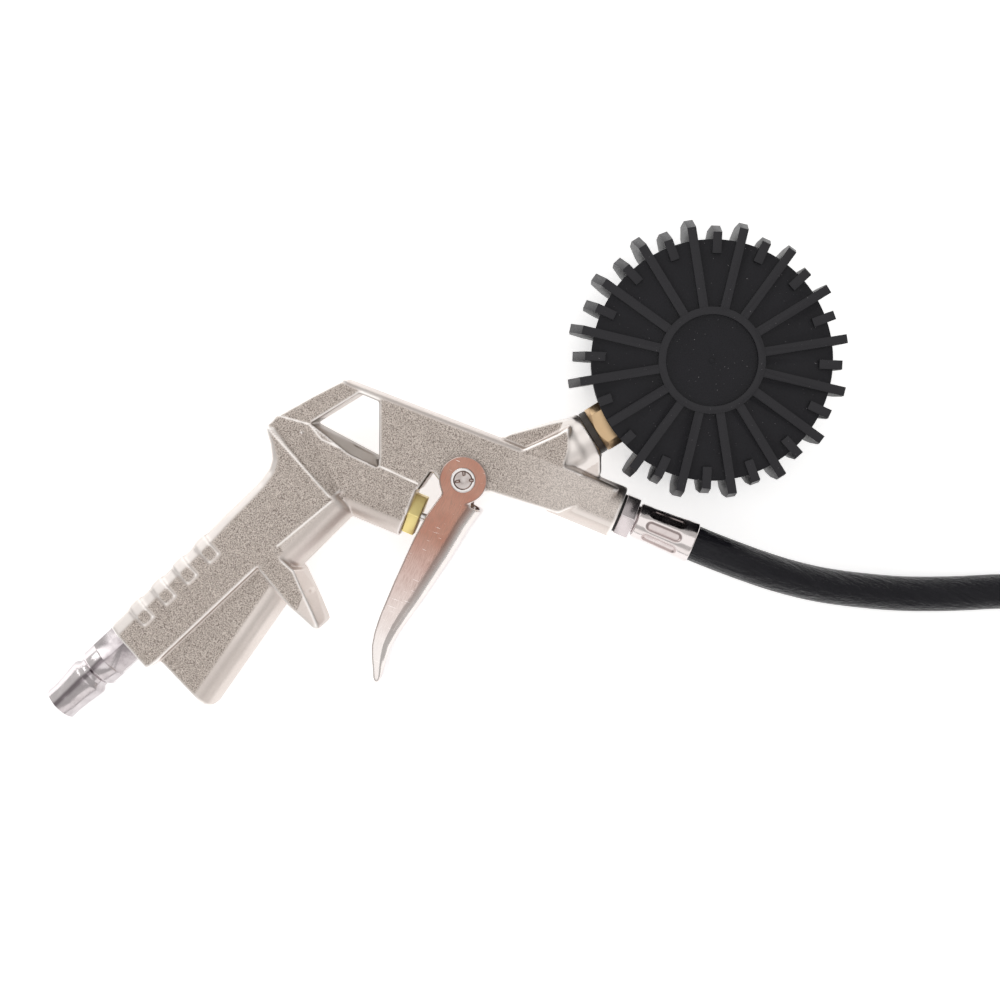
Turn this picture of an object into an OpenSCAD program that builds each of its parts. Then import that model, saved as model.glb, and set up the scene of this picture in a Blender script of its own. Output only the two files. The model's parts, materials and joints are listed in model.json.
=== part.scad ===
// Tyre inflator with a dial gauge: a die-cast pistol body, a squeeze trigger that pushes a valve stem,
// a bourdon-tube gauge in a ribbed rubber boot, and a short hose with a clip-on air chuck.
// Gun axes: x along the barrel to the hose, y up to the gauge, z across the casting, origin at the trigger
// pivot. The gun lies on a bench with its gauge face down, so place() tips it to rest on boot and grip.

/* [Casting] */
// Thickness of the grip
grip_t = 25; // [24:0.5:26]
// Thickness of the flat part of the barrel
barrel_t = 19; // [18.5:0.1:19.2]
// Diameter of the round end of the barrel
barrel_d = 18; // [17.5:0.1:18.5]
// Height of the barrel axis above the trigger pivot
barrel_y = 9.4; // [9.2:0.1:9.6]
// Length from the pivot to the end of the barrel
barrel_end = 53.6; // [52:0.2:55]
// Diameter of the valve housing
valve_housing_d = 18.2; // [17.8:0.1:18.6]
// Height of the valve axis, below the trigger pivot
valve_y = -18; // [-18.4:0.1:-17.8]
// Diameter of the gauge boss
boss_d = 16; // [15.5:0.1:16.5]

/* [Trigger] */
// Gap between the trigger's side plates
trigger_gap = 19.8; // [19.6:0.1:20.2]
// Thickness of the trigger's sheet steel
trigger_sheet = 1.4; // [1:0.1:1.5]
// Radius of the trigger's eye around the pivot
trigger_eye_r = 8.3; // [7.5:0.1:8.5]
// Diameter of the pivot pin
pivot_pin_d = 4; // [3.5:0.1:4.5]

/* [Air inlet] */
// Diameter of the plug's nose, the part that enters a quick coupler
plug_nose_d = 12.7; // [12.5:0.1:12.9]
// Length of the plug outside the grip
plug_len = 32; // [31:0.5:33]
// Width across flats of the plug's hexagon
plug_hex_af = 14; // [13.5:0.1:14.5]

/* [Gauge] */
// Radius of the gauge case
case_r = 34.4; // [34:0.1:34.6]
// Radius of the back of the rubber boot
boot_r = 40.5; // [40:0.1:41]
// Number of rib pairs around the boot
boot_rib_pairs = 16; // [8:1:16]
// Width of a boot rib
boot_rib_w = 3; // [2:0.1:3.4]
// Distance from the barrel axis to the gauge centre, along the gauge boss
gauge_reach = 74.3; // [74:0.1:75]
// Full turn of the pointer over the dial, in degrees
dial_sweep = 270; // [240:5:270]

/* [Hose] */
// Outside diameter of the hose
hose_d = 12.5; // [12:0.1:12.7]
// Diameter of the bore that takes a tyre valve
chuck_bore_d = 8.1; // [8:0.1:8.3]

/* [Hidden] */
$fn = 48;

// Resting place of the gun on the bench
tilt = [4.3, -1.3, 0];
pivot_at = [-0.8, 7.8, 21.95];

// Directions inside the gun
boss_angle = 53.8;
boss_len = 26.5;
grip_angle = -115.2;
boss_root = [18.6, barrel_y];
gauge_at = boss_root + gauge_reach * [cos(boss_angle), sin(boss_angle)];
grip_end = [-89.9, -100.6];
outlet_r = 4.2;
passage_r = 3;
inlet_thread_r = 5.6;
nut_thread_r = 6;
nut_thread_from = -20;
riser_x = -22.5;
riser_r = 2;
riser_len = 27;

// Valve stack along the valve axis, measured along x
valve_face = -13.7;
nut_face = -9.4;
bore_r = 4.5;
seat_x = -33;
chamber_end = -48;
stem_tip = 5.6;
stem_r = 1.5;

function turn(p, a) = [p[0] * cos(a) - p[1] * sin(a), p[0] * sin(a) + p[1] * cos(a)];
function tip_x(p) =
  [p[0], p[1] * cos(tilt[0]) - p[2] * sin(tilt[0]), p[1] * sin(tilt[0]) + p[2] * cos(tilt[0])];
function tip_y(p) =
  [p[0] * cos(tilt[1]) + p[2] * sin(tilt[1]), p[1], p[2] * cos(tilt[1]) - p[0] * sin(tilt[1])];
function placed(p) = pivot_at + tip_y(tip_x(p));

module place() { translate(pivot_at) rotate(tilt) children(); }
module at_gauge() { place() translate([gauge_at[0], gauge_at[1], 0]) rotate([0, 0, boss_angle]) children(); }
// Axes inside the gun: z runs along the valve, the barrel, the gauge boss or out of the end of the grip
module on_valve() { translate([0, valve_y, 0]) rotate([0, 90, 0]) children(); }
module on_barrel() { translate([0, barrel_y, 0]) rotate([0, 90, 0]) children(); }
module on_boss() {
  translate([boss_root[0], boss_root[1], 0]) rotate([0, 0, boss_angle]) rotate([0, 90, 0]) children();
}
module on_grip() {
  translate([grip_end[0], grip_end[1], 0]) rotate([0, 0, grip_angle]) rotate([0, 90, 0]) children();
}
module at_valve() { place() on_valve() children(); }
module at_barrel() { place() on_barrel() children(); }
module at_plug() { place() on_grip() children(); }
module slab(points, t) { translate([0, 0, -t / 2]) linear_extrude(t) polygon(points); }
module rod(r, from, to) { translate([0, 0, from]) cylinder(r = r, h = to - from); }
module tube(r_out, r_in, from, to) {
  difference() {
    rod(r_out, from, to);
    rod(r_in, from - 1, to + 1);
  }
}
module hexagon(af, from, to) { translate([0, 0, from]) cylinder(d = af / cos(30), h = to - from, $fn = 6); }

// ---------------------------------------------------------------- casting
upper_outline = [[-51, 16.6], [34, 18.3], [34, 0.8], [9.5, -0.6], [4.5, -5.4], [-4.5, -5.4],
  [-11.5, -1.4], [-13.7, -8.9], [-13.7, -18], [-36, -18], [-40.5, -22.3], [-67, -7.8], [-69.7, -8.3],
  [-68.3, -4.2], [-59, 7.4]];
window_outline = [[-56, -1.9], [-44, 13.8], [-37, 13.7], [-29.8, -5]];
grip_outline = [[-67, -7.8], [-40.5, -22.3], [-50, -45], [-52, -55], [-53.9, -54], [-74.4, -98.3],
  [-77, -102.6], [-94.5, -94.1], [-76.3, -53.3], [-71.3, -41.5], [-67.8, -34], [-64.8, -27.1],
  [-63.4, -22], [-63.6, -18.5], [-66.2, -13.5], [-69, -9.9], [-69.7, -8.3]];
front_block_outline = [[-50, -52], [-40.5, -63.4], [-51.1, -105.6], [-53.4, -107.6], [-75, -98.3],
  [-56, -54]];
hook_outline = [[-50.3, -45.2], [-39.8, -49.7], [-36, -53.1], [-30.5, -58.1], [-26.8, -62.3],
  [-26.1, -64], [-26.8, -66.2], [-28.4, -67.4], [-31.9, -66.4], [-39.1, -63.6], [-46.4, -59.7],
  [-53.7, -55.8]];
boss_web_outline = [[6, 17.4], [8.3, 20.7], [20.1, 29.6], [27, 34.2], [40.6, 25.4], [42.8, 20.2],
  [43, 17], [20, 10]];
front_block_t = 20;
hook_t = 24.4;
boss_web_t = 12;
finger_top = [-47, -24.5];
finger_low = [-52.2, -45.5];
pads_at = [-75.6, -51.7];
pads_angle = -114.2;
pad_count = 4;
round_from = 30;
valve_boss_from = -42;

module finger_round() {
  along = finger_low - finger_top;
  translate([finger_top[0], finger_top[1], 0]) rotate([0, 0, atan2(along[1], along[0])]) rotate([0, 90, 0])
    intersection() {
      cylinder(d = grip_t - 0.8, h = norm(along));
      translate([-grip_t, 0, -1]) cube([2 * grip_t, grip_t, norm(along) + 2]);
    }
}
module grip_pads() {
  pad_w = 5.3;
  pad_pitch = 10.6;
  pad_h = 0.6;
  pad_reach = 8.6;
  translate([pads_at[0], pads_at[1], 0]) rotate([0, 0, pads_angle]) for (i = [0:pad_count - 1])
    translate([i * pad_pitch, -pad_h, -grip_t / 2 - pad_h])
      cube([pad_w, pad_reach + pad_h, grip_t + 2 * pad_h]);
}
module casting_solid() {
  slab(upper_outline, barrel_t);
  slab(grip_outline, grip_t);
  slab(front_block_outline, front_block_t);
  slab(hook_outline, hook_t);
  slab(boss_web_outline, boss_web_t);
  finger_round();
  grip_pads();
  on_barrel() rod(barrel_d / 2, round_from, barrel_end);
  on_valve() rod(valve_housing_d / 2, valve_boss_from, valve_face);
  on_boss() rod(boss_d / 2, 0, boss_len);
}
module body_casting() {
  color("#b3a799") place() difference() {
    casting_solid();
    slab(window_outline, 2 * grip_t);
    // Trigger pivot hole
    rod(pivot_pin_d / 2, -grip_t, grip_t);
    // Valve chamber and the thread of its packing nut
    on_valve() rod(bore_r, chamber_end, 0);
    on_valve() rod(nut_thread_r, nut_thread_from, 0);
    // Inlet thread and the long passage up the grip
    on_grip() rod(inlet_thread_r, -14, 3);
    on_grip() rod(passage_r, -92, 0);
    // Drilling from the valve chamber up to the barrel passage
    translate([riser_x, valve_y, 0]) rotate([-90, 0, 0]) rod(riser_r, 0, riser_len);
    // Barrel passage and hose thread
    on_barrel() rod(2.4, riser_x - 1.5, 50);
    on_barrel() rod(outlet_r, 42, 60);
    // Gauge passage and gauge thread
    on_boss() rod(2, 0, 40);
    on_boss() rod(5, 15, 40);
  }
}
module core_plugs() {
  // Plug that closes the blind end of the riser drilling
  color("#8d8d90") place() translate([riser_x, valve_y, 0]) rotate([-90, 0, 0]) rod(riser_r, 25, riser_len);
}

// ---------------------------------------------------------------- air inlet
plug_profile = [[0, plug_len], [4.2, plug_len], [5.1, plug_len - 0.4], [plug_nose_d / 2, plug_len - 0.9],
  [plug_nose_d / 2, plug_len - 5.4], [6.7, plug_len - 9], [7.25, plug_len - 13.6], [7.3, plug_len - 15.3],
  [6.9, plug_len - 15.9], [6.05, plug_len - 17], [6.05, plug_len - 18.6], [6.9, plug_len - 19.4],
  [7.4, plug_len - 20], [7.4, plug_len - 25], [7, plug_len - 25.4], [5.5, plug_len - 25.4], [5.5, 1.2],
  [5.55, 1.2], [5.55, -11], [0, -11]];
module inlet_plug() {
  color("#b9b3b6") at_plug() difference() {
    union() {
      rotate_extrude() polygon(plug_profile);
      hexagon(plug_hex_af, -2.9, plug_len - 25.2);
    }
    rod(3.6, -12, plug_len - 8);
    rod(4, plug_len - 9, plug_len + 1);
  }
}
module inlet_washer() { color("#c8a06a") at_plug() tube(6.9, 5.65, -3.7, -2.95); }

// ---------------------------------------------------------------- valve
module packing_nut() {
  color("#d9b44a") at_valve() difference() {
    union() {
      hexagon(plug_hex_af, valve_face + 0.1, nut_face);
      rod(5.9, -19.5, valve_face + 0.2);
    }
    rod(stem_r + 0.08, -25, 0);
    rod(3, -25, -16.5);
  }
}
module stem_o_ring() { color("#222222") at_valve() tube(2.95, stem_r + 0.05, -19.3, -17); }
module valve_stem() { color("#cfcfd2") at_valve() rod(stem_r, seat_x - 2, stem_tip); }
module valve_seat() { color("#d0ad55") at_valve() tube(bore_r - 0.05, 2.6, seat_x + 0.6, seat_x + 3); }
module valve_poppet() { color("#d0ad55") at_valve() tube(3.9, stem_r, seat_x - 4, seat_x - 1.4); }
module poppet_seal() { color("#1c1c1c") at_valve() tube(3.7, stem_r, seat_x - 1.35, seat_x + 0.5); }
module valve_spring() {
  // Coils between the end of the chamber and the poppet
  coil_pitch = 2.5;
  coil_r = 3.2;
  wire_r = 0.45;
  color("#9b9ba0") at_valve() for (i = [0:4]) translate([0, 0, chamber_end + wire_r + 0.02 + i * coil_pitch])
    rotate_extrude() translate([coil_r, 0]) circle(r = wire_r, $fn = 16);
}

// ---------------------------------------------------------------- trigger
// Side plate outline without the eye, free edge first, then the finger edge
trigger_outline = [[-7.6, -3.2], [-5, -7.2], [-7.2, -16], [-8.3, -26.2], [-8.9, -41], [-9.1, -53.8],
  [-8.7, -60.4], [-7.8, -65.1], [-6.3, -68.8], [-4.3, -72.1], [-1, -76.2], [-0.4, -74.2], [-1.1, -69],
  [-1.4, -63.4], [-0.6, -58], [0.9, -51.7], [2.7, -44.6], [4.4, -36.5], [6.4, -27.3], [8.3, -15.3],
  [10.1, -8.3], [8.2, -1.4]];
// Hollow between the side plates, up to the inside of the bent finger edge
trigger_inner = [[-20, -7.9], [-20, -90], [-3.1, -90], [-3.1, -69], [-3.4, -63.4], [-2.6, -58],
  [-1.1, -51.7], [0.8, -44.6], [2.6, -36.5], [4.7, -27.3], [6.6, -15.3], [7.9, -8.3], [6, -7.9]];
module trigger_lever() {
  outer_t = trigger_gap + 2 * trigger_sheet;
  color("#c9c2bd") place() difference() {
    union() {
      slab(trigger_outline, outer_t);
      rod(trigger_eye_r, -outer_t / 2, outer_t / 2);
    }
    slab(trigger_inner, trigger_gap);
    slab([[-20, -8], [9, -8], [9, 20], [-20, 20]], trigger_gap);
    rod(pivot_pin_d / 2 + 0.05, -20, 20);
  }
}
module trigger_pin() {
  head_z = trigger_gap / 2 + trigger_sheet + 0.1;
  color("#d8d6d4") place() {
    rod(pivot_pin_d / 2, -head_z, head_z);
    for (side = [0, 1]) mirror([0, 0, side]) translate([0, 0, head_z]) difference() {
      cylinder(r1 = 4.5, r2 = 4.1, h = 0.9);
      translate([0, 0, 0.45]) cylinder(r1 = 2.2, r2 = 3, h = 0.6);
    }
  }
}

// ---------------------------------------------------------------- gauge
case_back = 10.7;
case_front = -15;
hex_r = gauge_reach - boss_len - 2.3;
tube_r = 24;
tube_w = 6.8;
tube_t = 2.2;
tube_tip_angle = -80;
module side_rod(r, from, to) { rotate([0, -90, 0]) rod(r, from, to); }
// Square block for a wrench, with its corners turned down and its end chamfered
block_w = 16;
block_chamfer = 1.6;
module wrench_block() {
  rotate([0, -90, 0]) intersection() {
    translate([-block_w / 2, -block_w / 2, 39.5]) cube([block_w, block_w, hex_r - 39.5]);
    union() {
      rod(block_w * 0.6, 39, hex_r - block_chamfer);
      translate([0, 0, hex_r - block_chamfer - 0.01])
        cylinder(r1 = block_w * 0.6, r2 = block_w * 0.475, h = block_chamfer + 0.02);
    }
  }
}
module gauge_socket() {
  color("#cf9f62") at_gauge() difference() {
    union() {
      wrench_block();
      side_rod(4.9, 30, hex_r + 10);
      translate([-32, -6, -4.6]) cube([8.7, 12, 9]);
    }
    side_rod(1.5, 22, hex_r + 12);
    // Seat for the root of the bourdon tube
    translate([0, 0, -4.5]) tube(tube_r + 1.6, tube_r - 1.6, 1, 8);
  }
}
module thread_seal() {
  color("#2b2118") at_gauge() rotate([0, -90, 0]) tube(7.9, 5, hex_r + 0.05, hex_r + 2.25);
}
module gauge_case() {
  color("#2f3033") at_gauge() difference() {
    rod(case_r, case_front, case_back);
    rod(case_r - 1.1, case_front - 1, case_back - 1.1);
    side_rod(5.1, 20, 40);
  }
}
module bourdon_tube() {
  color("#c99a5b") at_gauge() {
    translate([0, 0, -tube_w / 2]) rotate([0, 0, tube_tip_angle])
      rotate_extrude(angle = 180 - tube_tip_angle, $fn = 96)
        translate([tube_r - tube_t / 2, 0]) square([tube_t, tube_w]);
    rotate([0, 0, tube_tip_angle]) translate([tube_r - 3.6, -2.4, -0.8]) difference() {
      cube([3, 2.6, 1.2]);
      translate([1.2, 1.2, -1]) cylinder(r = 0.45, h = 4);
    }
  }
}
pinion_r = 1.2;
sector_r = 12;
sector_tail = 5;
pinion_teeth = 12;
gear_ratio = sector_r / pinion_r;
sector_axis = [-(pinion_r + sector_r), 0];
function tooth(r_root, r_tip, pitch, i) = [
  for (k = [[-0.3, r_root], [-0.12, r_tip], [0.12, r_tip], [0.3, r_root]])
    k[1] * [cos((i + k[0]) * pitch), sin((i + k[0]) * pitch)]];
function teeth(r_root, r_tip, pitch, from, to) =
  [for (i = [from:to]) for (p = tooth(r_root, r_tip, pitch, i)) p];
// Height of the sector on its arbor, and the plates that the arbors turn in
sector_z = -2.4;
front_plate_z = -6.2;
back_plate_z = 4.45;
plate_t = 1.2;
arbor_r = 0.6;
arbor_end = back_plate_z + 0.9;
module sector_gear() {
  pitch = 360 / (pinion_teeth * gear_ratio);
  // The pointer rests at the start of the dial, so the meshing tooth is near one end of the sector
  color("#d6b25e") at_gauge() translate([sector_axis[0], sector_axis[1], 0]) difference() {
    union() {
      translate([0, 0, sector_z]) linear_extrude(1)
        polygon(concat([[0, 0]], teeth(sector_r - 0.35, sector_r + 0.12, pitch, -1, 10)));
      rod(2, sector_z, sector_z + 1);
      translate([-sector_tail, -0.9, sector_z]) cube([sector_tail, 1.8, 1]);
      translate([-sector_tail, 0, 0]) rod(1.2, sector_z, sector_z + 1);
      rod(arbor_r, front_plate_z + 0.3, arbor_end);
    }
    translate([-sector_tail, 0, 0]) rod(0.45, -10, 10);
  }
}
module pinion() {
  pitch = 360 / pinion_teeth;
  color("#d6b25e") at_gauge() {
    translate([0, 0, sector_z - 0.3]) linear_extrude(1.6) rotate([0, 0, 180 + pitch / 2])
      polygon(teeth(pinion_r - 0.22, pinion_r + 0.12, pitch, 0, pinion_teeth - 1));
    rod(arbor_r, -13.9, arbor_end);
  }
}
module movement_frame() {
  color("#c9b27a") at_gauge() difference() {
    union() {
      translate([-30, -5, back_plate_z]) cube([35, 10, plate_t]);
      translate([-22.2, -5, front_plate_z]) cube([27.2, 10, plate_t]);
      for (x = [3.4, -20.9]) for (y = [-4, 4]) translate([x, y, 0])
        rod(0.8, front_plate_z + 0.5, back_plate_z + 0.5);
    }
    rod(arbor_r + 0.05, -10, 10);
    translate([sector_axis[0], sector_axis[1], 0]) rod(arbor_r + 0.05, -10, 10);
  }
}
link_from = sector_axis + [-sector_tail, 0];
module tip_link() {
  lug = turn([tube_r - 2.4, -1.2], tube_tip_angle);
  span = lug - link_from;
  link_z = -3.5;
  link_t = 0.8;
  color("#c9b27a") at_gauge() translate([link_from[0], link_from[1], 0])
    rotate([0, 0, atan2(span[1], span[0])]) {
      translate([0, -0.6, link_z]) cube([norm(span), 1.2, link_t]);
      rod(0.4, link_z, -1.2);
      rod(1, link_z, link_z + link_t);
      translate([norm(span), 0, 0]) rod(1, link_z, link_z + link_t);
    }
}
module dial_face() {
  color("#f4f4f0") at_gauge() difference() {
    rod(31.8, -12.4, -11.8);
    rod(1.6, -14, -10);
    for (y = [-20, 20]) translate([0, y, 0]) rod(1, -14, -10);
  }
}
module dial_screws() {
  color("#c4c4c4") at_gauge() for (y = [-20, 20]) translate([0, y, 0]) {
    rod(1.9, -13.3, -12.45);
    rod(0.95, -12.5, -7);
  }
}
module dial_posts() {
  color("#b9b9bb") at_gauge() for (side = [-1, 1]) translate([0, side * 20, 0]) difference() {
    union() {
      rod(2, -11.75, -9);
      translate([0, side * 6.6, -10.4]) cube([2.4, 13.2, 1.4], center = true);
    }
    rod(1, -14, -5);
  }
}
module pointer() {
  color("#cc2222") at_gauge() rotate([0, 0, -dial_sweep / 2]) difference() {
    union() {
      translate([0, 0, -14.3]) linear_extrude(0.5) polygon([[-9, -1.4], [27, -0.3], [27, 0.3], [-9, 1.4]]);
      rod(2.4, -14.6, -13.2);
    }
    rod(0.6, -14.2, -10);
  }
}
module lens() { color("#dfe8ee", 0.4) at_gauge() rod(32.4, -18, -16); }
module lens_gasket() { color("#222222") at_gauge() tube(33.1, 30.8, -15.95, -15.05); }
module bezel_ring() {
  color("#3a3b3e") at_gauge() difference() {
    rod(case_r, -19.4, case_front - 0.05);
    rod(33.2, -18.1, -10);
    rod(30.6, -25, -10);
  }
}
// Direction in which the ribs are shortest and stand steepest, because the boot sits pulled over
steep_at = -50;
module boot_rib(from, reach, angle) {
  // A rib on the back of the boot that turns down its side and ends on the bench side
  lean = cos(angle - steep_at);
  swell = 2.7 - 1.7 * lean;
  tip = reach - 1.3 * lean - swell;
  rotate([0, 0, angle]) translate([0, boot_rib_w / 2, 0]) rotate([90, 0, 0]) linear_extrude(boot_rib_w)
    polygon([[from, 12], [from, boot_back], [tip, boot_back], [tip + swell, 5], [tip + swell, -15],
      [tip, boot_front], [boot_r - 2, boot_front], [boot_r - 2, 12]]);
}
boot_back = 16.6;
boot_plate = 14.2;
boot_front = -25;
module rubber_boot() {
  step = 360 / boot_rib_pairs;
  color("#2a2a2d") at_gauge() difference() {
    union() {
      difference() {
        rod(boot_r, -21.5, boot_plate);
        rod(case_r + 0.05, -19.5, case_back + 0.1);
        rod(30.2, -30, 0);
      }
      tube(17.9, 15.4, boot_plate - 1, boot_back + 0.3);
      // Mark left by the gate of the mould
      rod(0.9, boot_plate - 1, boot_plate + 0.4);
      for (i = [0:boot_rib_pairs - 1]) {
        if (i != 0) boot_rib(16.8, 47.7, 180 + i * step);
        if (i != 0 && i != boot_rib_pairs - 1) boot_rib(35.7, 45.6, 180 + (i + 0.5) * step);
      }
      rotate([0, 0, 180]) translate([16.8, -boot_rib_w / 2, 12]) cube([23.4, boot_rib_w, boot_back - 12]);
      for (a = [-0.5, 0.5]) rotate([0, 0, 180 + a * step]) translate([35.7, -boot_rib_w / 2, 12])
        cube([4.6, boot_rib_w, boot_back - 12]);
    }
    // Opening for the gauge stem
    translate([-60, -8.3, -8.3]) cube([30, 16.6, 16.6]);
  }
}

// ---------------------------------------------------------------- hose end at the barrel
ferrule_start = 60.2;
ferrule_end = 81.6;
barb_r = 3.4;
// Radius of the hose where the ferrule squeezes it
squeezed_r = 5.2;
module hose_adapter() {
  color("#c4c0ba") at_barrel() difference() {
    union() {
      rod(outlet_r, 44, barrel_end);
      hexagon(plug_hex_af, barrel_end + 0.9, 59.4);
      rod(5, barrel_end, ferrule_start);
      rod(barb_r, 59, ferrule_end - 5);
    }
    rod(2, 40, 90);
  }
}
module adapter_washer() { color("#9c8a66") at_barrel() tube(6.8, 5.1, barrel_end + 0.05, barrel_end + 0.85); }
module crimped_hose_end() {
  color("#1f1f22") at_barrel() tube(squeezed_r, barb_r, ferrule_start + 0.6, ferrule_end - 5);
}
module hose_ferrule() {
  color("#d6cfc6") at_barrel() difference() {
    translate([0, 0, ferrule_start]) cylinder(r1 = 6.1, r2 = 7.1, h = ferrule_end - ferrule_start);
    rod(barb_r + 0.02, 50, 61);
    rod(5.22, ferrule_start + 0.6, ferrule_end - 4.9);
    rod(hose_d / 2 + 0.02, ferrule_end - 5, ferrule_end + 1);
  }
}

// ---------------------------------------------------------------- hose
// Route of the hose centre: x and y from the trigger pivot, z above the bench
chuck_axis_z = 7.52;
chuck_at = [380, 23];
chuck_angle = 82;
hose_route = [[103, 9.8, 23.4], [116, 10.8, 20.4], [130, 13, 16], [145, 16.8, 11.4], [160, 21.5, 8],
  [176, 28, 6.5], [192, 35.4, 6.3], [207, 41.5, 6.3], [223, 44.5, 6.3], [240, 42.5, 6.3],
  [256, 34.5, 6.3], [269, 21, 6.3], [278, 4, 6.3], [291, -11, 6.3], [308, -21, 6.3], [328, -24, 6.3],
  [347, -19.5, 6.4], [363, -8.5, 6.8], [373, 5, 7.3]];
ends_in = placed([ferrule_end - 4, barrel_y, 0]);
out_of_ferrule = placed([ferrule_end + 8, barrel_y, 0]);
function chuck_point(x) = [pivot_at[0] + chuck_at[0] + x * cos(chuck_angle),
  pivot_at[1] + chuck_at[1] + x * sin(chuck_angle), chuck_axis_z];
route = concat([ends_in, out_of_ferrule],
  [for (p = hose_route) [p[0] + pivot_at[0], p[1] + pivot_at[1], p[2]]],
  [chuck_point(-9), chuck_point(0)]);
hose_sides = 12;
rings_per_span = 2;
function between(a, b, c, d, t) = 0.5 * (2 * b + (c - a) * t + (2 * a - 5 * b + 4 * c - d) * t * t
  + (3 * b - a - 3 * c + d) * t * t * t);
function route_at(i) = route[max(0, min(len(route) - 1, i))];
hose_line = concat(
  [for (i = [0:len(route) - 2]) for (k = [0:rings_per_span - 1])
    between(route_at(i - 1), route_at(i), route_at(i + 1), route_at(i + 2), k / rings_per_span)],
  [route[len(route) - 1]]);
function unit(v) = v / norm(v);
function heading(i) = unit(hose_line[min(i + 1, len(hose_line) - 1)] - hose_line[max(i - 1, 0)]);
function ring(i) = let (f = heading(i), s = unit(cross([0, 0, 1], f)), u = cross(f, s), a = 360 / hose_sides)
  [for (k = [0:hose_sides - 1]) hose_line[i] + hose_d / 2 * (s * cos(k * a) + u * sin(k * a))];
module hose() {
  last = len(hose_line) - 1;
  sides = [for (i = [0:last - 1]) for (k = [0:hose_sides - 1]) let (n = (k + 1) % hose_sides)
    [i * hose_sides + k, (i + 1) * hose_sides + k, (i + 1) * hose_sides + n, i * hose_sides + n]];
  caps = [[for (k = [0:hose_sides - 1]) k], [for (k = [hose_sides - 1:-1:0]) last * hose_sides + k]];
  color("#19191b") polyhedron(points = [for (i = [0:last]) for (p = ring(i)) p], faces = concat(sides, caps));
}

// ---------------------------------------------------------------- clip-on air chuck, x along its axis, z up
module at_chuck() {
  translate(chuck_point(0)) rotate([0, 0, chuck_angle]) children();
}
module lengthways() { rotate([0, 90, 0]) children(); }
chuck_len = 62;
nose_len = 12;
bore_len = 9;
lever_pivot = [38, 9.6];
module chuck_ferrule() {
  color("#d6cfc6") at_chuck() lengthways() difference() {
    translate([0, 0, -4]) cylinder(r1 = 7.1, r2 = 6.4, h = 21);
    rod(hose_d / 2 + 0.02, -5, 1);
    rod(5.22, 0, 16.4);
    rod(barb_r + 0.02, 10, 20);
  }
}
module clamped_hose_end() { color("#1f1f22") at_chuck() lengthways() tube(squeezed_r, barb_r, 1.1, 16.3); }
module chuck_body() {
  color("#c9a95c") at_chuck() difference() {
    union() {
      lengthways() rod(barb_r, 1, 20);
      lengthways() hexagon(13, 17.3, 25);
      lengthways() rod(7.4, 25, chuck_len);
      for (side = [-1, 1]) translate([lever_pivot[0] - 4, side * 4.6 - 1.2, 2]) cube([8, 2.4, 10.4]);
    }
    lengthways() rod(1.8, 0, chuck_len - nose_len - 2);
    lengthways() rod(chuck_bore_d / 2, chuck_len - bore_len, chuck_len + 1);
    lengthways() rod(chuck_bore_d / 2 + 0.25, chuck_len - nose_len, chuck_len - bore_len);
    lengthways() rod(3.2, chuck_len - nose_len - 6, chuck_len - nose_len + 1);
    // Slot for the jaw of the lever
    translate([chuck_len - 6.5, -2.6, 0]) cube([3.7, 5.2, 12]);
    // Flat under the lever, so that its heel clears the body as it turns
    translate([lever_pivot[0] - 5, -2.6, 6.6]) cube([10, 5.2, 3]);
    translate([lever_pivot[0], 0, lever_pivot[1]]) rotate([90, 0, 0]) rod(1.25, -8, 8);
  }
}
module chuck_seal() {
  color("#7a2a22") at_chuck() lengthways() tube(3.15, 1.6, chuck_len - nose_len - 5.6, chuck_len - nose_len);
}
module chuck_depressor() {
  color("#cfcfd2") at_chuck() lengthways() {
    rod(0.9, chuck_len - nose_len - 8, chuck_len - nose_len + 2);
    difference() {
      rod(1.75, chuck_len - nose_len - 8, chuck_len - nose_len - 6.6);
      for (a = [0, 120, 240]) rotate([0, 0, a]) translate([1.5, 0, 0]) rod(0.4, 30, 60);
    }
  }
}
module chuck_lever() {
  lever_side = [[-26, 6.4], [-27.6, 7.6], [-27, 8.6], [-24, 8.8], [-6, 4.2], [3, 3.2], [18, 2.2],
    [20.4, 0.6], [20.4, -4.4], [18.2, -5.2], [18.2, -0.6], [4, 0.6], [2.2, -2.2], [-2.2, -2.2], [-4, 2.2]];
  color("#c8c8cb") at_chuck() translate([lever_pivot[0], 0, lever_pivot[1]]) difference() {
    union() {
      translate([0, 2.2, 0]) rotate([90, 0, 0]) linear_extrude(4.4) polygon(lever_side);
      translate([0, 6, 0]) rotate([90, 0, 0]) linear_extrude(12)
        polygon([[-26, 6.4], [-27.6, 7.6], [-27, 8.6], [-24, 8.8], [-9, 5], [-9.4, 3.6]]);
    }
    rotate([90, 0, 0]) rod(1.28, -8, 8);
  }
}
module lever_pin() {
  color("#b8b8bc") at_chuck() translate([lever_pivot[0], 0, lever_pivot[1]]) rotate([90, 0, 0])
    rod(1.22, -6.4, 6.4);
}
module lever_spring() {
  coil_pitch = 1.3;
  color("#9b9ba0") at_chuck() translate([lever_pivot[0] - 9, 0, 8.1])
    for (i = [0:3]) translate([0, 0, i * coil_pitch])
      rotate_extrude() translate([1.7, 0]) circle(r = 0.3, $fn = 16);
}

body_casting();
core_plugs();
inlet_plug();
inlet_washer();
packing_nut();
stem_o_ring();
valve_stem();
valve_seat();
valve_poppet();
poppet_seal();
valve_spring();
trigger_lever();
trigger_pin();
gauge_socket();
thread_seal();
gauge_case();
bourdon_tube();
sector_gear();
pinion();
movement_frame();
tip_link();
dial_face();
dial_screws();
dial_posts();
pointer();
lens();
lens_gasket();
bezel_ring();
rubber_boot();
hose_adapter();
adapter_washer();
crimped_hose_end();
hose_ferrule();
hose();
chuck_ferrule();
clamped_hose_end();
chuck_body();
chuck_seal();
chuck_depressor();
chuck_lever();
lever_pin();
lever_spring();
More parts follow.
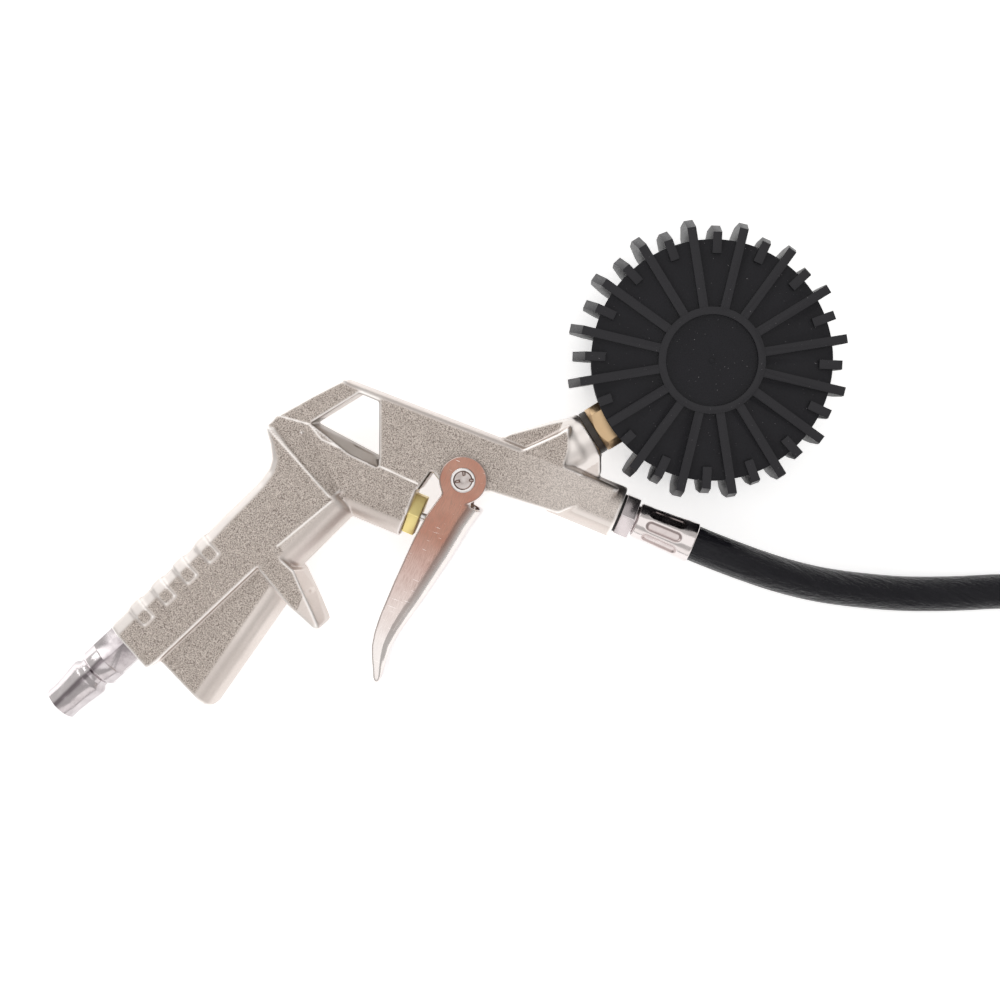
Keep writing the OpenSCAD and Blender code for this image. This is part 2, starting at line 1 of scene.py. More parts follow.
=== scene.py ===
"""Looks of a tyre inflator with a dial gauge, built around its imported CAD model.

Lengths inside the shapes are in millimetres, in the gun's own axes: x along the barrel to the hose, y up to
the gauge, z across the casting, with the origin at the trigger pivot. GUN turns them into the frame's metres.
"""
import json
import math
import bmesh
import bpy
import numpy as np
from mathutils import Matrix, Vector


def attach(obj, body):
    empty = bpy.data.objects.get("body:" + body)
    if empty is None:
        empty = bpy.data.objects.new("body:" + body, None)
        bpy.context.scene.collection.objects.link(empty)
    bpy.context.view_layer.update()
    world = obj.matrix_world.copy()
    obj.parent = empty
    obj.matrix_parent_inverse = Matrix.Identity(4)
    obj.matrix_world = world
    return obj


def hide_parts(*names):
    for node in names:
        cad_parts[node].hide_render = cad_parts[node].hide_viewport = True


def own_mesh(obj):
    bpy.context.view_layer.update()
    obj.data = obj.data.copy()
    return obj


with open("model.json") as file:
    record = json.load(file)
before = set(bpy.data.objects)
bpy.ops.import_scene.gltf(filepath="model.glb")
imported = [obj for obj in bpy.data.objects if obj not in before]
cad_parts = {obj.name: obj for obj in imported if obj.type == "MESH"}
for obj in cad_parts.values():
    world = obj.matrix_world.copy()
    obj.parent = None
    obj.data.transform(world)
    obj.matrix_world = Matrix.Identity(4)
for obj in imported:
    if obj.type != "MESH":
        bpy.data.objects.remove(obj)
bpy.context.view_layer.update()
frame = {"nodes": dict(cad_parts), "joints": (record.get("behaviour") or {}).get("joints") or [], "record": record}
scene = bpy.context.scene
MM = 0.001


# ---------------------------------------------------------------- frames of the gun, the gauge and the chuck
JOINTS = {joint["name"]: joint for joint in frame["joints"]}
MOUNTS = {mount["name"]: mount for mount in frame["record"]["mounts"]}


def frame_of(x_axis, z_axis, origin):
    """A matrix from millimetres in a tilted frame to metres in the row frame."""
    z_axis = Vector(z_axis).normalized()
    x_axis = Vector(x_axis).normalized()
    y_axis = z_axis.cross(x_axis)
    turned = Matrix((x_axis, y_axis, z_axis)).transposed().to_4x4()
    turned.translation = Vector(origin)
    return turned @ Matrix.Scale(MM, 4)


PIVOT = Vector(JOINTS["trigger_squeeze"]["pos_m"])
GUN = frame_of(-Vector(JOINTS["valve_lift"]["axis"]), -Vector(JOINTS["trigger_squeeze"]["axis"]), PIVOT)
GAUGE_CENTRE = GUN.inverted() @ Vector(JOINTS["pointer_turn"]["pos_m"])
BARREL_Y = 9.4
BOSS_ROOT = (18.6, BARREL_Y)
BOSS_ANGLE = math.atan2(GAUGE_CENTRE.y - BOSS_ROOT[1], GAUGE_CENTRE.x - BOSS_ROOT[0])
GAUGE = GUN @ Matrix.Translation(GAUGE_CENTRE) @ Matrix.Rotation(BOSS_ANGLE, 4, "Z")
BARREL = GUN @ Matrix.Translation((0, BARREL_Y, 0)) @ Matrix.Rotation(math.radians(90), 4, "Y")
PLUG_AXIS = Vector(MOUNTS["air_inlet"]["axis"])
PLUG_LEN = 32.0
PLUG_MID = PLUG_LEN - 3.15


def plug_matrix():
    """z runs out of the grip along the inlet plug, with 0 at the end of the grip."""
    start = Vector(MOUNTS["air_inlet"]["pos_m"]) - PLUG_AXIS * PLUG_MID * MM
    across = GUN.to_3x3() @ Vector((0, 0, 1))
    return frame_of(across, PLUG_AXIS, start)


PLUG = plug_matrix()
CHUCK_AXIS = Vector(MOUNTS["tyre_valve"]["axis"])
CHUCK_BORE_MID = 57.5
CHUCK_END = Vector(MOUNTS["tyre_valve"]["pos_m"]) - CHUCK_AXIS * CHUCK_BORE_MID * MM
CHUCK = frame_of(CHUCK_AXIS, (0, 0, 1), CHUCK_END)


# ---------------------------------------------------------------- signed-distance shapes
def outline_distance(points, x, y):
    """Distance to a closed outline, negative inside."""
    nearest = np.full(np.broadcast(x, y).shape, 1e9)
    inside = np.zeros(nearest.shape, bool)
    for (ax, ay), (bx, by) in zip(points, points[1:] + points[:1]):
        ex, ey = bx - ax, by - ay
        wx, wy = x - ax, y - ay
        t = np.clip((wx * ex + wy * ey) / (ex * ex + ey * ey), 0, 1)
        nearest = np.minimum(nearest, (wx - ex * t) ** 2 + (wy - ey * t) ** 2)
        if ay != by:
            inside ^= ((ay > y) != (by > y)) & (x < ex * (y - ay) / ey + ax)
    return np.sqrt(nearest) * np.where(inside, -1, 1)


def rounded(a, b, r):
    """Intersection of two distances with its edge rounded to radius r."""
    a, b = a + r, b + r
    return np.minimum(np.maximum(a, b), 0) + np.hypot(np.maximum(a, 0), np.maximum(b, 0)) - r


def slab(points, x, y, z, half, r):
    return rounded(outline_distance(points, x, y), np.abs(z) - half, r)


def rod(x, y, z, start, angle, low, high, radius, r):
    """A cylinder in the gun's plane, from low to high along angle."""
    u = (x - start[0]) * math.cos(angle) + (y - start[1]) * math.sin(angle)
    v = (y - start[1]) * math.cos(angle) - (x - start[0]) * math.sin(angle)
    return rounded(np.hypot(v, z) - radius, np.maximum(low - u, u - high), r)


def joined(a, b, k=0.8):
    """Union with a fillet."""
    h = np.clip(0.5 + 0.5 * (b - a) / k, 0, 1)
    return b * (1 - h) + a * h - k * h * (1 - h)


def cut(a, b, k=0.8):
    """a without b, with the new edge rounded."""
    return -joined(-a, b, k)


def blurred(values, passes):
    """Softens every edge of a field by a few passes of a three-point average along each axis."""
    for _ in range(passes):
        for axis in range(3):
            low = np.roll(values, 1, axis)
            high = np.roll(values, -1, axis)
            values = 0.25 * low + 0.5 * values + 0.25 * high
    return values


def sampled(grid, where):
    """Trilinear look-up at points in grid units."""
    top = np.array(grid.shape[:3]) - 2
    base = np.clip(np.floor(where).astype(int), 0, top)
    f = where - base
    total = 0
    for corner in np.ndindex(2, 2, 2):
        i, j, k = (base + corner).T
        weight = np.prod(np.where(corner, f, 1 - f), axis=1)
        value = grid[i, j, k]
        total = total + (value * weight if value.ndim == 1 else value * weight[:, None])
    return total


def surface_of(field, low, high, step, blur=1):
    """Points, normals, quads and curvature per mm on the zero surface of a field, by surface nets."""
    axes = [np.arange(lo - 3 * step, hi + 4 * step, step) for lo, hi in zip(low, high)]
    x, y, z = axes[0][:, None, None], axes[1][None, :, None], axes[2][None, None, :]
    values = np.array(np.broadcast_to(field(x, y, z), [len(a) for a in axes]), float)
    values = blurred(np.clip(values, -4 * step, 4 * step), blur)
    inside = values < 0
    nx, ny, nz = (size - 1 for size in inside.shape)
    count = sum(inside[i:nx + i, j:ny + j, k:nz + k].astype(np.int8) for i, j, k in np.ndindex(2, 2, 2))
    cells = np.argwhere((count > 0) & (count < 8))
    number = np.full(count.shape, -1, int)
    number[tuple(cells.T)] = np.arange(len(cells))
    total = np.zeros((len(cells), 3))
    hits = np.zeros(len(cells))
    for corner in np.ndindex(2, 2, 2):
        for axis in range(3):
            if corner[axis]:
                continue
            a = cells + corner
            b = a.copy()
            b[:, axis] += 1
            va, vb = values[tuple(a.T)], values[tuple(b.T)]
            crossed = (va < 0) != (vb < 0)
            t = np.where(crossed, va / np.where(crossed, va - vb, 1), 0)
            point = a.astype(float)
            point[:, axis] += t
            total[crossed] += point[crossed]
            hits[crossed] += 1
    points = total / hits[:, None]
    slope = np.stack(np.gradient(values), axis=-1)
    for _ in range(3):
        g = sampled(slope, points)
        d = sampled(values, points)
        move = d[:, None] * g / np.maximum((g * g).sum(1), 1e-6)[:, None]
        points -= np.clip(move, -0.5, 0.5)
    normals = sampled(slope, points)
    normals /= np.maximum(np.linalg.norm(normals, axis=1), 1e-9)[:, None]
    soft = blurred(values, 1)
    bend = -6 * soft
    for axis in range(3):
        bend = bend + np.roll(soft, 1, axis) + np.roll(soft, -1, axis)
    curvature = sampled(bend, points) / step ** 2
    faces = []
    for axis in range(3):
        near, far = [slice(1, -1)] * 3, [slice(1, -1)] * 3
        far[axis] = slice(2, None)
        change = inside[tuple(near)] != inside[tuple(far)]
        start = np.argwhere(change) + 1
        one, two = (axis + 1) % 3, (axis + 2) % 3
        ring = []
        for p, q in ((1, 1), (0, 1), (0, 0), (1, 0)):
            cell = start.copy()
            cell[:, one] -= p
            cell[:, two] -= q
            ring.append(number[tuple(cell.T)])
        quads = np.stack(ring, axis=1)
        inward = inside[tuple(start.T)]
        quads[~inward] = quads[~inward][:, ::-1]
        faces.append(quads)
    origin = np.array([a[0] for a in axes])
    return origin + points * step, normals, np.concatenate(faces), curvature


# ---------------------------------------------------------------- meshes
def new_object(name, points, faces, matrix=None, smooth=True):
    mesh = bpy.data.meshes.new(name)
    points = np.asarray(points, float)
    if matrix is not None:
        points = points @ np.array(matrix.to_3x3()).T + np.array(matrix.translation)
    mesh.from_pydata(points.tolist(), [], [list(map(int, f)) for f in faces])
    mesh.update()
    if smooth:
        mesh.shade_smooth()
    piece = bpy.data.objects.new(name, mesh)
    scene.collection.objects.link(piece)
    return piece


def put(piece, body, nodes, material):
    """Rides the piece on its body, in place of CAD nodes, with its material."""
    piece.data.materials.clear()
    piece.data.materials.append(material)
    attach(piece, body)
    if nodes:
        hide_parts(*nodes)
    return piece


def point_values(piece, name, values):
    attribute = piece.data.attributes.new(name, "FLOAT", "POINT")
    attribute.data.foreach_set("value", np.asarray(values, np.float32))


def softened(node, width):
    """A copy of a CAD node with its faces joined and its edges rounded."""
    source = frame["nodes"][node]
    mesh = source.data.copy()
    piece = bpy.data.objects.new(node + "_shown", mesh)
    scene.collection.objects.link(piece)
    edit = bmesh.new()
    edit.from_mesh(mesh)
    bmesh.ops.remove_doubles(edit, verts=edit.verts, dist=2e-6)
    bmesh.ops.dissolve_limit(edit, angle_limit=math.radians(1), verts=edit.verts, edges=edit.edges)
    edit.to_mesh(mesh)
    edit.free()
    mesh.shade_smooth()
    bevel = piece.modifiers.new("rounded", "BEVEL")
    bevel.width = width * MM
    bevel.segments = 2
    bevel.limit_method = "ANGLE"
    bevel.angle_limit = math.radians(30)
    bevel.harden_normals = True
    return piece


# ---------------------------------------------------------------- materials
class Look:
    """A small builder around one Principled material, with object coordinates in millimetres."""

    def __init__(self, name, color=(0.5, 0.5, 0.5), roughness=0.5, metallic=0.0):
        self.material = bpy.data.materials.new(name)
        self.material.use_nodes = True
        self.tree = self.material.node_tree
        self.shader = self.tree.nodes["Principled BSDF"]
        self.set("Base Color", (*color, 1))
        self.set("Roughness", roughness)
        self.set("Metallic", metallic)
        place = self.tree.nodes.new("ShaderNodeTexCoord")
        scale = self.tree.nodes.new("ShaderNodeVectorMath")
        scale.operation = "SCALE"
        scale.inputs["Scale"].default_value = 1 / MM
        self.tree.links.new(place.outputs["Object"], scale.inputs[0])
        self.mm = scale.outputs[0]

    def set(self, socket, value):
        self.shader.inputs[socket].default_value = value

    def link(self, output, target):
        self.tree.links.new(output, target)

    def noise(self, scale, detail=2.0, roughness=0.5, stretch=None):
        node = self.tree.nodes.new("ShaderNodeTexNoise")
        node.inputs["Scale"].default_value = scale
        node.inputs["Detail"].default_value = detail
        node.inputs["Roughness"].default_value = roughness
        if stretch:
            mapping = self.tree.nodes.new("ShaderNodeMapping")
            mapping.inputs["Scale"].default_value = stretch
            self.link(self.mm, mapping.inputs["Vector"])
            self.link(mapping.outputs[0], node.inputs["Vector"])
        else:
            self.link(self.mm, node.inputs["Vector"])
        return node.outputs["Fac"]

    def attribute(self, name):
        node = self.tree.nodes.new("ShaderNodeAttribute")
        node.attribute_name = name
        return node.outputs["Fac"]

    def ramp(self, value, stops):
        """Maps a value through (position, grey or colour) stops."""
        node = self.tree.nodes.new("ShaderNodeValToRGB")
        elements = node.color_ramp.elements
        while len(elements) < len(stops):
            elements.new(0.5)
        for element, (position, color) in zip(elements, stops):
            element.position = position
            element.color = (color, color, color, 1) if isinstance(color, (int, float)) else (*color, 1)
        self.link(value, node.inputs["Fac"])
        return node.outputs["Color"]

    def mix(self, factor, a, b):
        """Blends two colours, values or sockets by a factor."""
        node = self.tree.nodes.new("ShaderNodeMix")
        node.data_type = "RGBA"
        for socket, value in ((node.inputs["Factor"], factor), (node.inputs["A"], a), (node.inputs["B"], b)):
            if isinstance(value, (int, float)):
                socket.default_value = value if socket.type == "VALUE" else (value, value, value, 1)
            elif isinstance(value, tuple):
                socket.default_value = (*value, 1)
            else:
                self.link(value, socket)
        return node.outputs["Result"]

    def math(self, operation, a, b=0.0):
        node = self.tree.nodes.new("ShaderNodeMath")
        node.operation = operation
        for socket, value in zip(node.inputs, (a, b)):
            if isinstance(value, (int, float)):
                socket.default_value = value
            else:
                self.link(value, socket)
        return node.outputs[0]

    def color(self, output):
        self.link(output, self.shader.inputs["Base Color"])
        return self

    def roughness(self, output):
        self.link(output, self.shader.inputs["Roughness"])
        return self

    def bump(self, height, distance, strength=1.0):
        node = self.tree.nodes.new("ShaderNodeBump")
        node.inputs["Distance"].default_value = distance * MM
        if isinstance(strength, (int, float)):
            node.inputs["Strength"].default_value = strength
        else:
            self.link(strength, node.inputs["Strength"])
        self.link(height, node.inputs["Height"])
        self.link(node.outputs[0], self.shader.inputs["Normal"])
        return self


def cast_nickel():
    """Blasted casting under satin nickel: speckled flats, smooth rounds and bright edges."""
    look = Look("cast_nickel", metallic=1.0)
    grain = look.attribute("grain")
    edge = look.attribute("edge")
    speck = look.noise(2.5, detail=3.0, roughness=0.75)
    coarse = look.noise(1.1, detail=2.0)
    patch = look.noise(0.05, detail=2.0)
    fine = look.noise(1.4, detail=4.0, roughness=0.7)
    pits, plain, peaks = (0.205, 0.172, 0.152), (0.50, 0.435, 0.39), (0.75, 0.675, 0.62)
    blasted = look.ramp(speck, [(0.36, pits), (0.48, plain), (0.59, peaks)])
    warm = look.mix(patch, (0.66, 0.595, 0.555), (0.80, 0.73, 0.69))
    stained = look.mix(0.12, warm, (0.35, 0.29, 0.25))
    satin = look.mix(look.ramp(fine, [(0.35, 0.0), (0.65, 1.0)]), stained, warm)
    # Worn bright edges and painted highlights, from the edge attribute, mixed towards near white.
    bright = look.mix(edge, satin, (1.0, 0.96, 0.93))
    surface = look.mix(grain, bright, blasted)
    # Painted shade from the shade attribute: a painted shadow line in the slot and painted shade on the sill of
    # the hole.
    look.color(look.mix(look.attribute("shade"), surface, (0.10, 0.08, 0.055)))
    rough_flat = look.ramp(speck, [(0.3, 0.62), (0.7, 0.42)])
    rough_edge = look.ramp(patch, [(0.3, 0.42), (0.7, 0.33)])
    look.roughness(look.mix(grain, rough_edge, rough_flat))
    height = look.math("ADD", speck, coarse)
    strength = look.math("MULTIPLY", look.math("ADD", grain, 0.05), 0.6)
    look.bump(height, 0.35, strength)
    return look.material


def plated_metal(name, color, roughness, metallic=1.0):
    """Bright plated or enamelled metal with faint brushing, haze and small scratches."""
    look = Look(name, color, roughness, metallic)
    haze = look.noise(0.12, detail=3.0)
    brushing = look.noise(1.5, detail=4.0, roughness=0.7)
    darker = tuple(c * 0.88 for c in color)
    look.color(look.mix(look.ramp(haze, [(0.35, 0.0), (0.65, 1.0)]), darker, color))
    look.roughness(look.ramp(look.math("ADD", haze, look.math("MULTIPLY", brushing, 0.5)),
                             [(0.4, max(roughness - 0.07, 0.03)), (1.1, roughness + 0.12)]))
    look.bump(brushing, 0.05, 0.25)
    return look.material


def turned_plate(name, bright, dull, roughness):
    """Plated turned metal, mixed towards its dull colour by the shade attribute: painted shade in hollows and
    painted reflections round the sides.
    """
    look = Look(name, bright, roughness, 1.0)
    haze = look.noise(0.35, detail=3.0)
    turning = look.noise(1.2, detail=4.0, roughness=0.7)
    # The shade attribute paints shade and reflections: it mixes the plating towards its dull colour.
    painted_dark = look.ramp(look.math("ADD", look.attribute("shade"), look.math("MULTIPLY", haze, 0.35)),
                     [(0.2, 0.0), (0.75, 1.0)])
    unshaded = look.mix(haze, tuple(c * 0.88 for c in bright), bright)
    look.color(look.mix(painted_dark, unshaded, dull))
    look.roughness(look.ramp(haze, [(0.35, roughness - 0.06), (0.7, roughness + 0.1)]))
    look.bump(turning, 0.06, 0.3)
    return look.material


def moulded_rubber():
    look = Look("boot_rubber", (0.01, 0.01, 0.012), 0.4)
    look.set("Specular IOR Level", 0.22)
    fine = look.noise(3.0, detail=3.0)
    broad = look.noise(0.09, detail=3.0)
    dust = look.ramp(look.noise(1.7, detail=1.0), [(0.77, 0.0), (0.79, 1.0)])
    flat = look.mix(broad, (0.0045, 0.0042, 0.0065), (0.011, 0.0105, 0.0145))
    rib = look.mix(fine, (0.014, 0.0135, 0.0165), (0.032, 0.031, 0.035))
    # Painted light: the rib tops lighter than the disc between them.
    base = look.mix(look.attribute("raised"), flat, rib)
    look.color(look.mix(dust, base, (0.16, 0.15, 0.16)))
    look.roughness(look.ramp(fine, [(0.3, 0.30), (0.7, 0.52)]))
    look.bump(look.math("ADD", fine, broad), 0.10, 0.5)
    return look.material


def hose_rubber():
    look = Look("hose_gloss", (0.008, 0.008, 0.009), 0.16)
    look.set("Specular IOR Level", 0.22)
    along = look.noise(0.35, detail=4.0, roughness=0.7, stretch=(0.18, 1.6, 1.6))
    fine = look.noise(0.9, detail=3.0)
    look.color(look.mix(along, (0.003, 0.003, 0.005), (0.012, 0.0115, 0.016)))
    look.roughness(look.ramp(fine, [(0.3, 0.05), (0.7, 0.13)]))
    look.bump(along, 1.5, 0.6)
    return look.material


def plain_plastic(name, color, roughness=0.4, grain=0.05):
    look = Look(name, color, roughness)
    fine = look.noise(2.2, detail=3.0)
    darker = tuple(c * 0.86 for c in color)
    look.color(look.mix(fine, darker, color))
    look.roughness(look.ramp(fine, [(0.3, roughness - 0.05), (0.7, roughness + 0.08)]))
    look.bump(fine, grain, 0.4)
    return look.material


def clear_glass():
    look = Look("lens_glass", (0.95, 0.98, 1.0), 0.02)
    look.set("Transmission Weight", 1.0)
    look.set("IOR", 1.47)
    smear = look.noise(0.08, detail=3.0)
    look.roughness(look.ramp(smear, [(0.4, 0.015), (0.7, 0.05)]))
    return look.material


def trigger_plate():
    """Plated sheet steel with a painted warm reflection of the room on its sides, fading to bare, brushed steel
    towards the tip, and painted shade along its edges and bend.
    """
    look = Look("trigger_plate", (0.8, 0.76, 0.72), 0.14, 1.0)
    painted_reflection = look.attribute("painted_reflection")
    haze = look.noise(0.15, detail=3.0)
    brushed = look.noise(0.9, detail=5.0, roughness=0.75, stretch=(4, 0.25, 4))
    marks = look.noise(1.0, detail=2.0, stretch=(0.16, 3.2, 0.16))
    # The warm colours are a painted reflection of the room, spread over the flat sides by the attribute read
    # above.
    warm = look.mix(haze, (0.37, 0.155, 0.11), (0.45, 0.265, 0.205))
    cool = look.mix(haze, (0.72, 0.665, 0.64), (0.88, 0.84, 0.82))
    body = look.mix(painted_reflection, cool, warm)
    # Darker brushed streaks within the painted reflection of the room.
    reflection_streaks = look.math("MULTIPLY", look.ramp(brushed, [(0.45, 0.0), (0.75, 1.0)]), painted_reflection)
    painted_dark = look.mix(reflection_streaks, body, (0.30, 0.19, 0.15))
    scratched = look.mix(look.ramp(marks, [(0.70, 0.0), (0.74, 0.8)]), painted_dark, (0.95, 0.90, 0.88))
    # Painted shade along the edges and the bend, from the shade attribute.
    look.color(look.mix(look.attribute("shade"), scratched, (0.60, 0.57, 0.60)))
    look.roughness(look.ramp(brushed, [(0.35, 0.10), (0.62, 0.24)]))
    look.bump(brushed, 0.04, 0.3)
    return look.material


LOOKS = {
    "cast": cast_nickel(),
    "nickel": plated_metal("satin_nickel", (0.74, 0.68, 0.69), 0.2),
    "trigger_steel": trigger_plate(),
    "ferrule": turned_plate("ferrule_plate", (0.80, 0.745, 0.735), (0.46, 0.385, 0.375), 0.15),
    "plug": turned_plate("plug_plate", (0.87, 0.82, 0.83), (0.27, 0.235, 0.25), 0.17),
    "rivet": turned_plate("rivet_steel", (0.80, 0.77, 0.76), (0.20, 0.125, 0.10), 0.2),
    "print": plain_plastic("dial_ink", (0.02, 0.02, 0.02), 0.5, 0.01),
    "brass_bright": plated_metal("brass_bright", (0.98, 0.82, 0.36), 0.3),
    "brass_tan": plated_metal("brass_tan", (0.66, 0.47, 0.28), 0.34),
    "steel": plated_metal("bright_steel", (0.84, 0.83, 0.82), 0.18),
    "rubber_black": moulded_rubber(),
    "seal_black": plain_plastic("seal_rubber", (0.02, 0.02, 0.02), 0.6),
    "sealant": plain_plastic("thread_sealant", (0.030, 0.019, 0.011), 0.4),
    "seal_red": plain_plastic("seal_red", (0.30, 0.05, 0.03), 0.6),
    "case_black": plated_metal("case_enamel", (0.03, 0.03, 0.033), 0.35, metallic=0.0),
    "dial_white": plain_plastic("dial_print", (0.86, 0.86, 0.83), 0.5, 0.01),
    "pointer_red": plain_plastic("pointer_red", (0.50, 0.02, 0.02), 0.35, 0.01),
    "glass": clear_glass(),
    "hose_black": hose_rubber(),
}
NODE_SLOT = {part["node"]: part["material_slot"] for part in frame["record"]["subparts"]}
BODIES = frame["record"]["behaviour"]["bodies"]
NODE_BODY = {node: body for body, members in BODIES.items() for node in members}
for name, node in frame["nodes"].items():
    node.data.materials.clear()
    node.data.materials.append(LOOKS["sealant" if name == "thread_seal" else NODE_SLOT[name]])


# ---------------------------------------------------------------- camera, floor and light
FLOOR_SIZE = 9.0
ROLL = math.radians(22.3)
CAMERA_AT = (0.0140, -0.0023, 0.5923)
LENS = 61.2


def set_stage():
    camera = bpy.data.objects.new("camera", bpy.data.cameras.new("camera"))
    camera.data.lens = LENS
    camera.data.sensor_width = 36
    camera.location = PIVOT + Vector(CAMERA_AT)
    camera.rotation_euler = (0, 0, ROLL)
    scene.collection.objects.link(camera)
    scene.camera = camera
    half = FLOOR_SIZE / 2
    corners = [(-half, -half, 0), (half, -half, 0), (half, half, 0), (-half, half, 0)]
    floor = new_object("floor", corners, [(0, 1, 2, 3)])
    look = Look("floor_paint", (0.9, 0.9, 0.9), 0.6)
    look.color(look.mix(look.noise(0.01), (0.90, 0.90, 0.90), (0.92, 0.92, 0.92)))
    look.set("Emission Color", (1, 1, 1, 1))
    look.set("Emission Strength", 0.55)
    floor.data.materials.append(look.material)


def softbox(name, place, size, radiance, color=(1, 1, 1), target=(0, 0, 0)):
    """A rectangular light panel of even radiance that faces the target."""
    light = bpy.data.lights.new(name, "AREA")
    light.shape = "RECTANGLE"
    light.size, light.size_y = size
    light.energy = radiance * math.pi * size[0] * size[1]
    light.color = color
    lamp = bpy.data.objects.new(name, light)
    lamp.location = place
    lamp.rotation_euler = (Vector(target) - Vector(place)).to_track_quat("-Z", "Y").to_euler()
    scene.collection.objects.link(lamp)


def light_stage():
    world = bpy.data.worlds.new("studio")
    scene.world = world
    world.use_nodes = True
    world.node_tree.nodes["Background"].inputs["Color"].default_value = (1.0, 0.985, 0.97, 1)
    world.node_tree.nodes["Background"].inputs["Strength"].default_value = 0.56
    softbox("overhead", (0, 0, 1.5), (1.6, 1.6), 0.64)
    softbox("key", (-1.2, 0.6, 0.75), (1.4, 1.0), 1.05)
    softbox("fill", (0.55, -1.3, 0.6), (2.2, 0.8), 0.62, (1.0, 0.97, 0.96))
    scene.view_settings.view_transform = "Standard"


set_stage()
light_stage()


# ---------------------------------------------------------------- hose
HOSE_D = 12.5
FERRULE_START = 60.2
FERRULE_END = 81.6
# The route's points from the pivot in x and y, and above the bench in z, as in part.scad
HOSE_ROUTE = [(103, 9.8, 23.4), (116, 10.8, 20.4), (130, 13, 16), (145, 16.8, 11.4), (160, 21.5, 8),
              (176, 28, 6.5), (192, 35.4, 6.3), (207, 41.5, 6.3), (223, 44.5, 6.3), (240, 42.5, 6.3),
              (256, 34.5, 6.3), (269, 21, 6.3), (278, 4, 6.3), (291, -11, 6.3), (308, -21, 6.3),
              (328, -24, 6.3), (347, -19.5, 6.4), (363, -8.5, 6.8), (373, 5, 7.3)]


def hose_line(per_span=6):
    """Points of a smooth curve through the route, in metres."""
    route = [BARREL @ Vector((0, 0, FERRULE_END - 4)), BARREL @ Vector((0, 0, FERRULE_END + 8))]
    route += [Vector((PIVOT.x + x * MM, PIVOT.y + y * MM, z * MM)) for x, y, z in HOSE_ROUTE]
    route += [CHUCK @ Vector((-9, 0, 0)), CHUCK @ Vector((0, 0, 0))]
    line = []
    for i in range(len(route) - 1):
        a, b = route[max(i - 1, 0)], route[i]
        c, d = route[i + 1], route[min(i + 2, len(route) - 1)]
        for k in range(per_span):
            t = k / per_span
            line.append(0.5 * (2 * b + (c - a) * t + (2 * a - 5 * b + 4 * c - d) * t * t
                               + (3 * b - a - 3 * c + d) * t ** 3))
    return line + [route[-1]]


def make_hose():
    line = hose_line()
    curve = bpy.data.curves.new("hose_shown", "CURVE")
    curve.dimensions = "3D"
    curve.bevel_depth = HOSE_D / 2 * MM
    curve.bevel_resolution = 10
    curve.use_fill_caps = True
    spline = curve.splines.new("POLY")
    spline.points.add(len(line) - 1)
    for point, place in zip(spline.points, line):
        point.co = (*place, 1)
    spline.use_smooth = True
    piece = bpy.data.objects.new("hose_shown", curve)
    scene.collection.objects.link(piece)
    put(piece, "gun", ["hose"], LOOKS["hose_black"])


make_hose()


# ---------------------------------------------------------------- casting
# Side outlines: barrel and valve side, hanging hole, sill of that hole, grip, and its thinner front block
UPPER = [(-51, 16.6), (34, 18.3), (39.5, 17), (39.5, 6.6), (34.4, 1.6), (9.5, -0.6), (4.5, -5.4),
         (-4.5, -5.4), (-11.1, -1.4), (-12.8, -8.9), (-13.7, -9.4), (-13.7, -18), (-36, -18), (-41.5, -26),
         (-65, -12.5), (-68.6, -9.1), (-69.7, -8.3), (-68.3, -4.2), (-59, 7.4)]
WINDOW = [(-56, -1.9), (-44.3, 13.9), (-37, 13.9), (-29.6, -4.6)]
WINDOW_SILL = [(-56, -1.9), (-44.3, 13.9), (-37, 13.9), (-28.6, -7.3), (-40, -6.6)]
GRIP_FRONT = [(-69.7, -8.3), (-67, -7.8), (-40.5, -22.3), (-50, -45), (-52, -55), (-53.9, -54),
              (-74.4, -98.3), (-77, -102.6), (-94.5, -94.1)]
GRIP_BACK = [(-94.5, -94.1), (-76.3, -53.3), (-71.3, -41.5), (-67.8, -34), (-64.8, -27.1), (-63.4, -22),
             (-63.6, -18.5), (-66.2, -13.5), (-69, -9.9), (-69.7, -8.3)]
BLOCK_FRONT = [(-41.2, -62.4), (-50.8, -104.2), (-51.3, -106.3), (-52.6, -107.6), (-54.6, -107.5)]
BLOCK_FLAT = [(-75, -98.3), (-60, -56), (-52, -48), (-44, -52)]
BLOCK_EDGE, BLOCK_ROUND = ((-41.2, -62.4), math.atan2(-41.8, -9.6)), 8.0
HOOK = [(-56, -46), (-43, -50.7), (-40.5, -50.3), (-34, -55.4), (-27, -63), (-26.2, -64.8), (-27, -66.8),
        (-28.4, -67.2), (-33.2, -65.4), (-39.3, -63.2), (-45.7, -59.8), (-53.8, -55.4)]
HOOK_FACE = [(-50.1, -44.8), (-43.9, -49.4), (-38.5, -54.9), (-31.4, -61.5), (-27, -65.9), (-30, -80),
             (-66, -65), (-60, -40)]
# Side outlines of the web behind the gauge boss and of the flat below it
BOSS_WEB = [(6, 17.4), (8.3, 20.7), (20.1, 29.6), (27, 34.2), (40.6, 25.4), (42.8, 20.2), (43, 17), (20, 10)]
BOSS_FACE = [(12, 10), (14.9, 17.4), (24, 26.9), (26.8, 30.8), (29.4, 23), (30.3, 17.2), (37.5, 17.4),
             (34, 10)]
BARREL_TOP = [(30, 9.4), (50.5, 9.4), (50.5, 17.6), (30, 18.3)]
# Half thicknesses, radii and the height of the valve's axis
GRIP_HALF, BARREL_HALF, BLOCK_HALF, HOOK_HALF, WEB_HALF = 12.5, 9.5, 10.0, 12.2, 6.0
HOUSING_R, BOSS_R, BOSS_FLARE_R, BOSS_LEN = 9.1, 8.1, 8.9, 26.5
VALVE_Y = -18
# The row of raised pads along the back of the grip
PAD_START, PAD_ANGLE, PAD_PITCH = (-75.6, -51.7), math.radians(-114.2), 10.6
PAD_W, PAD_H, PAD_REACH = 5.3, 0.6, 8.6
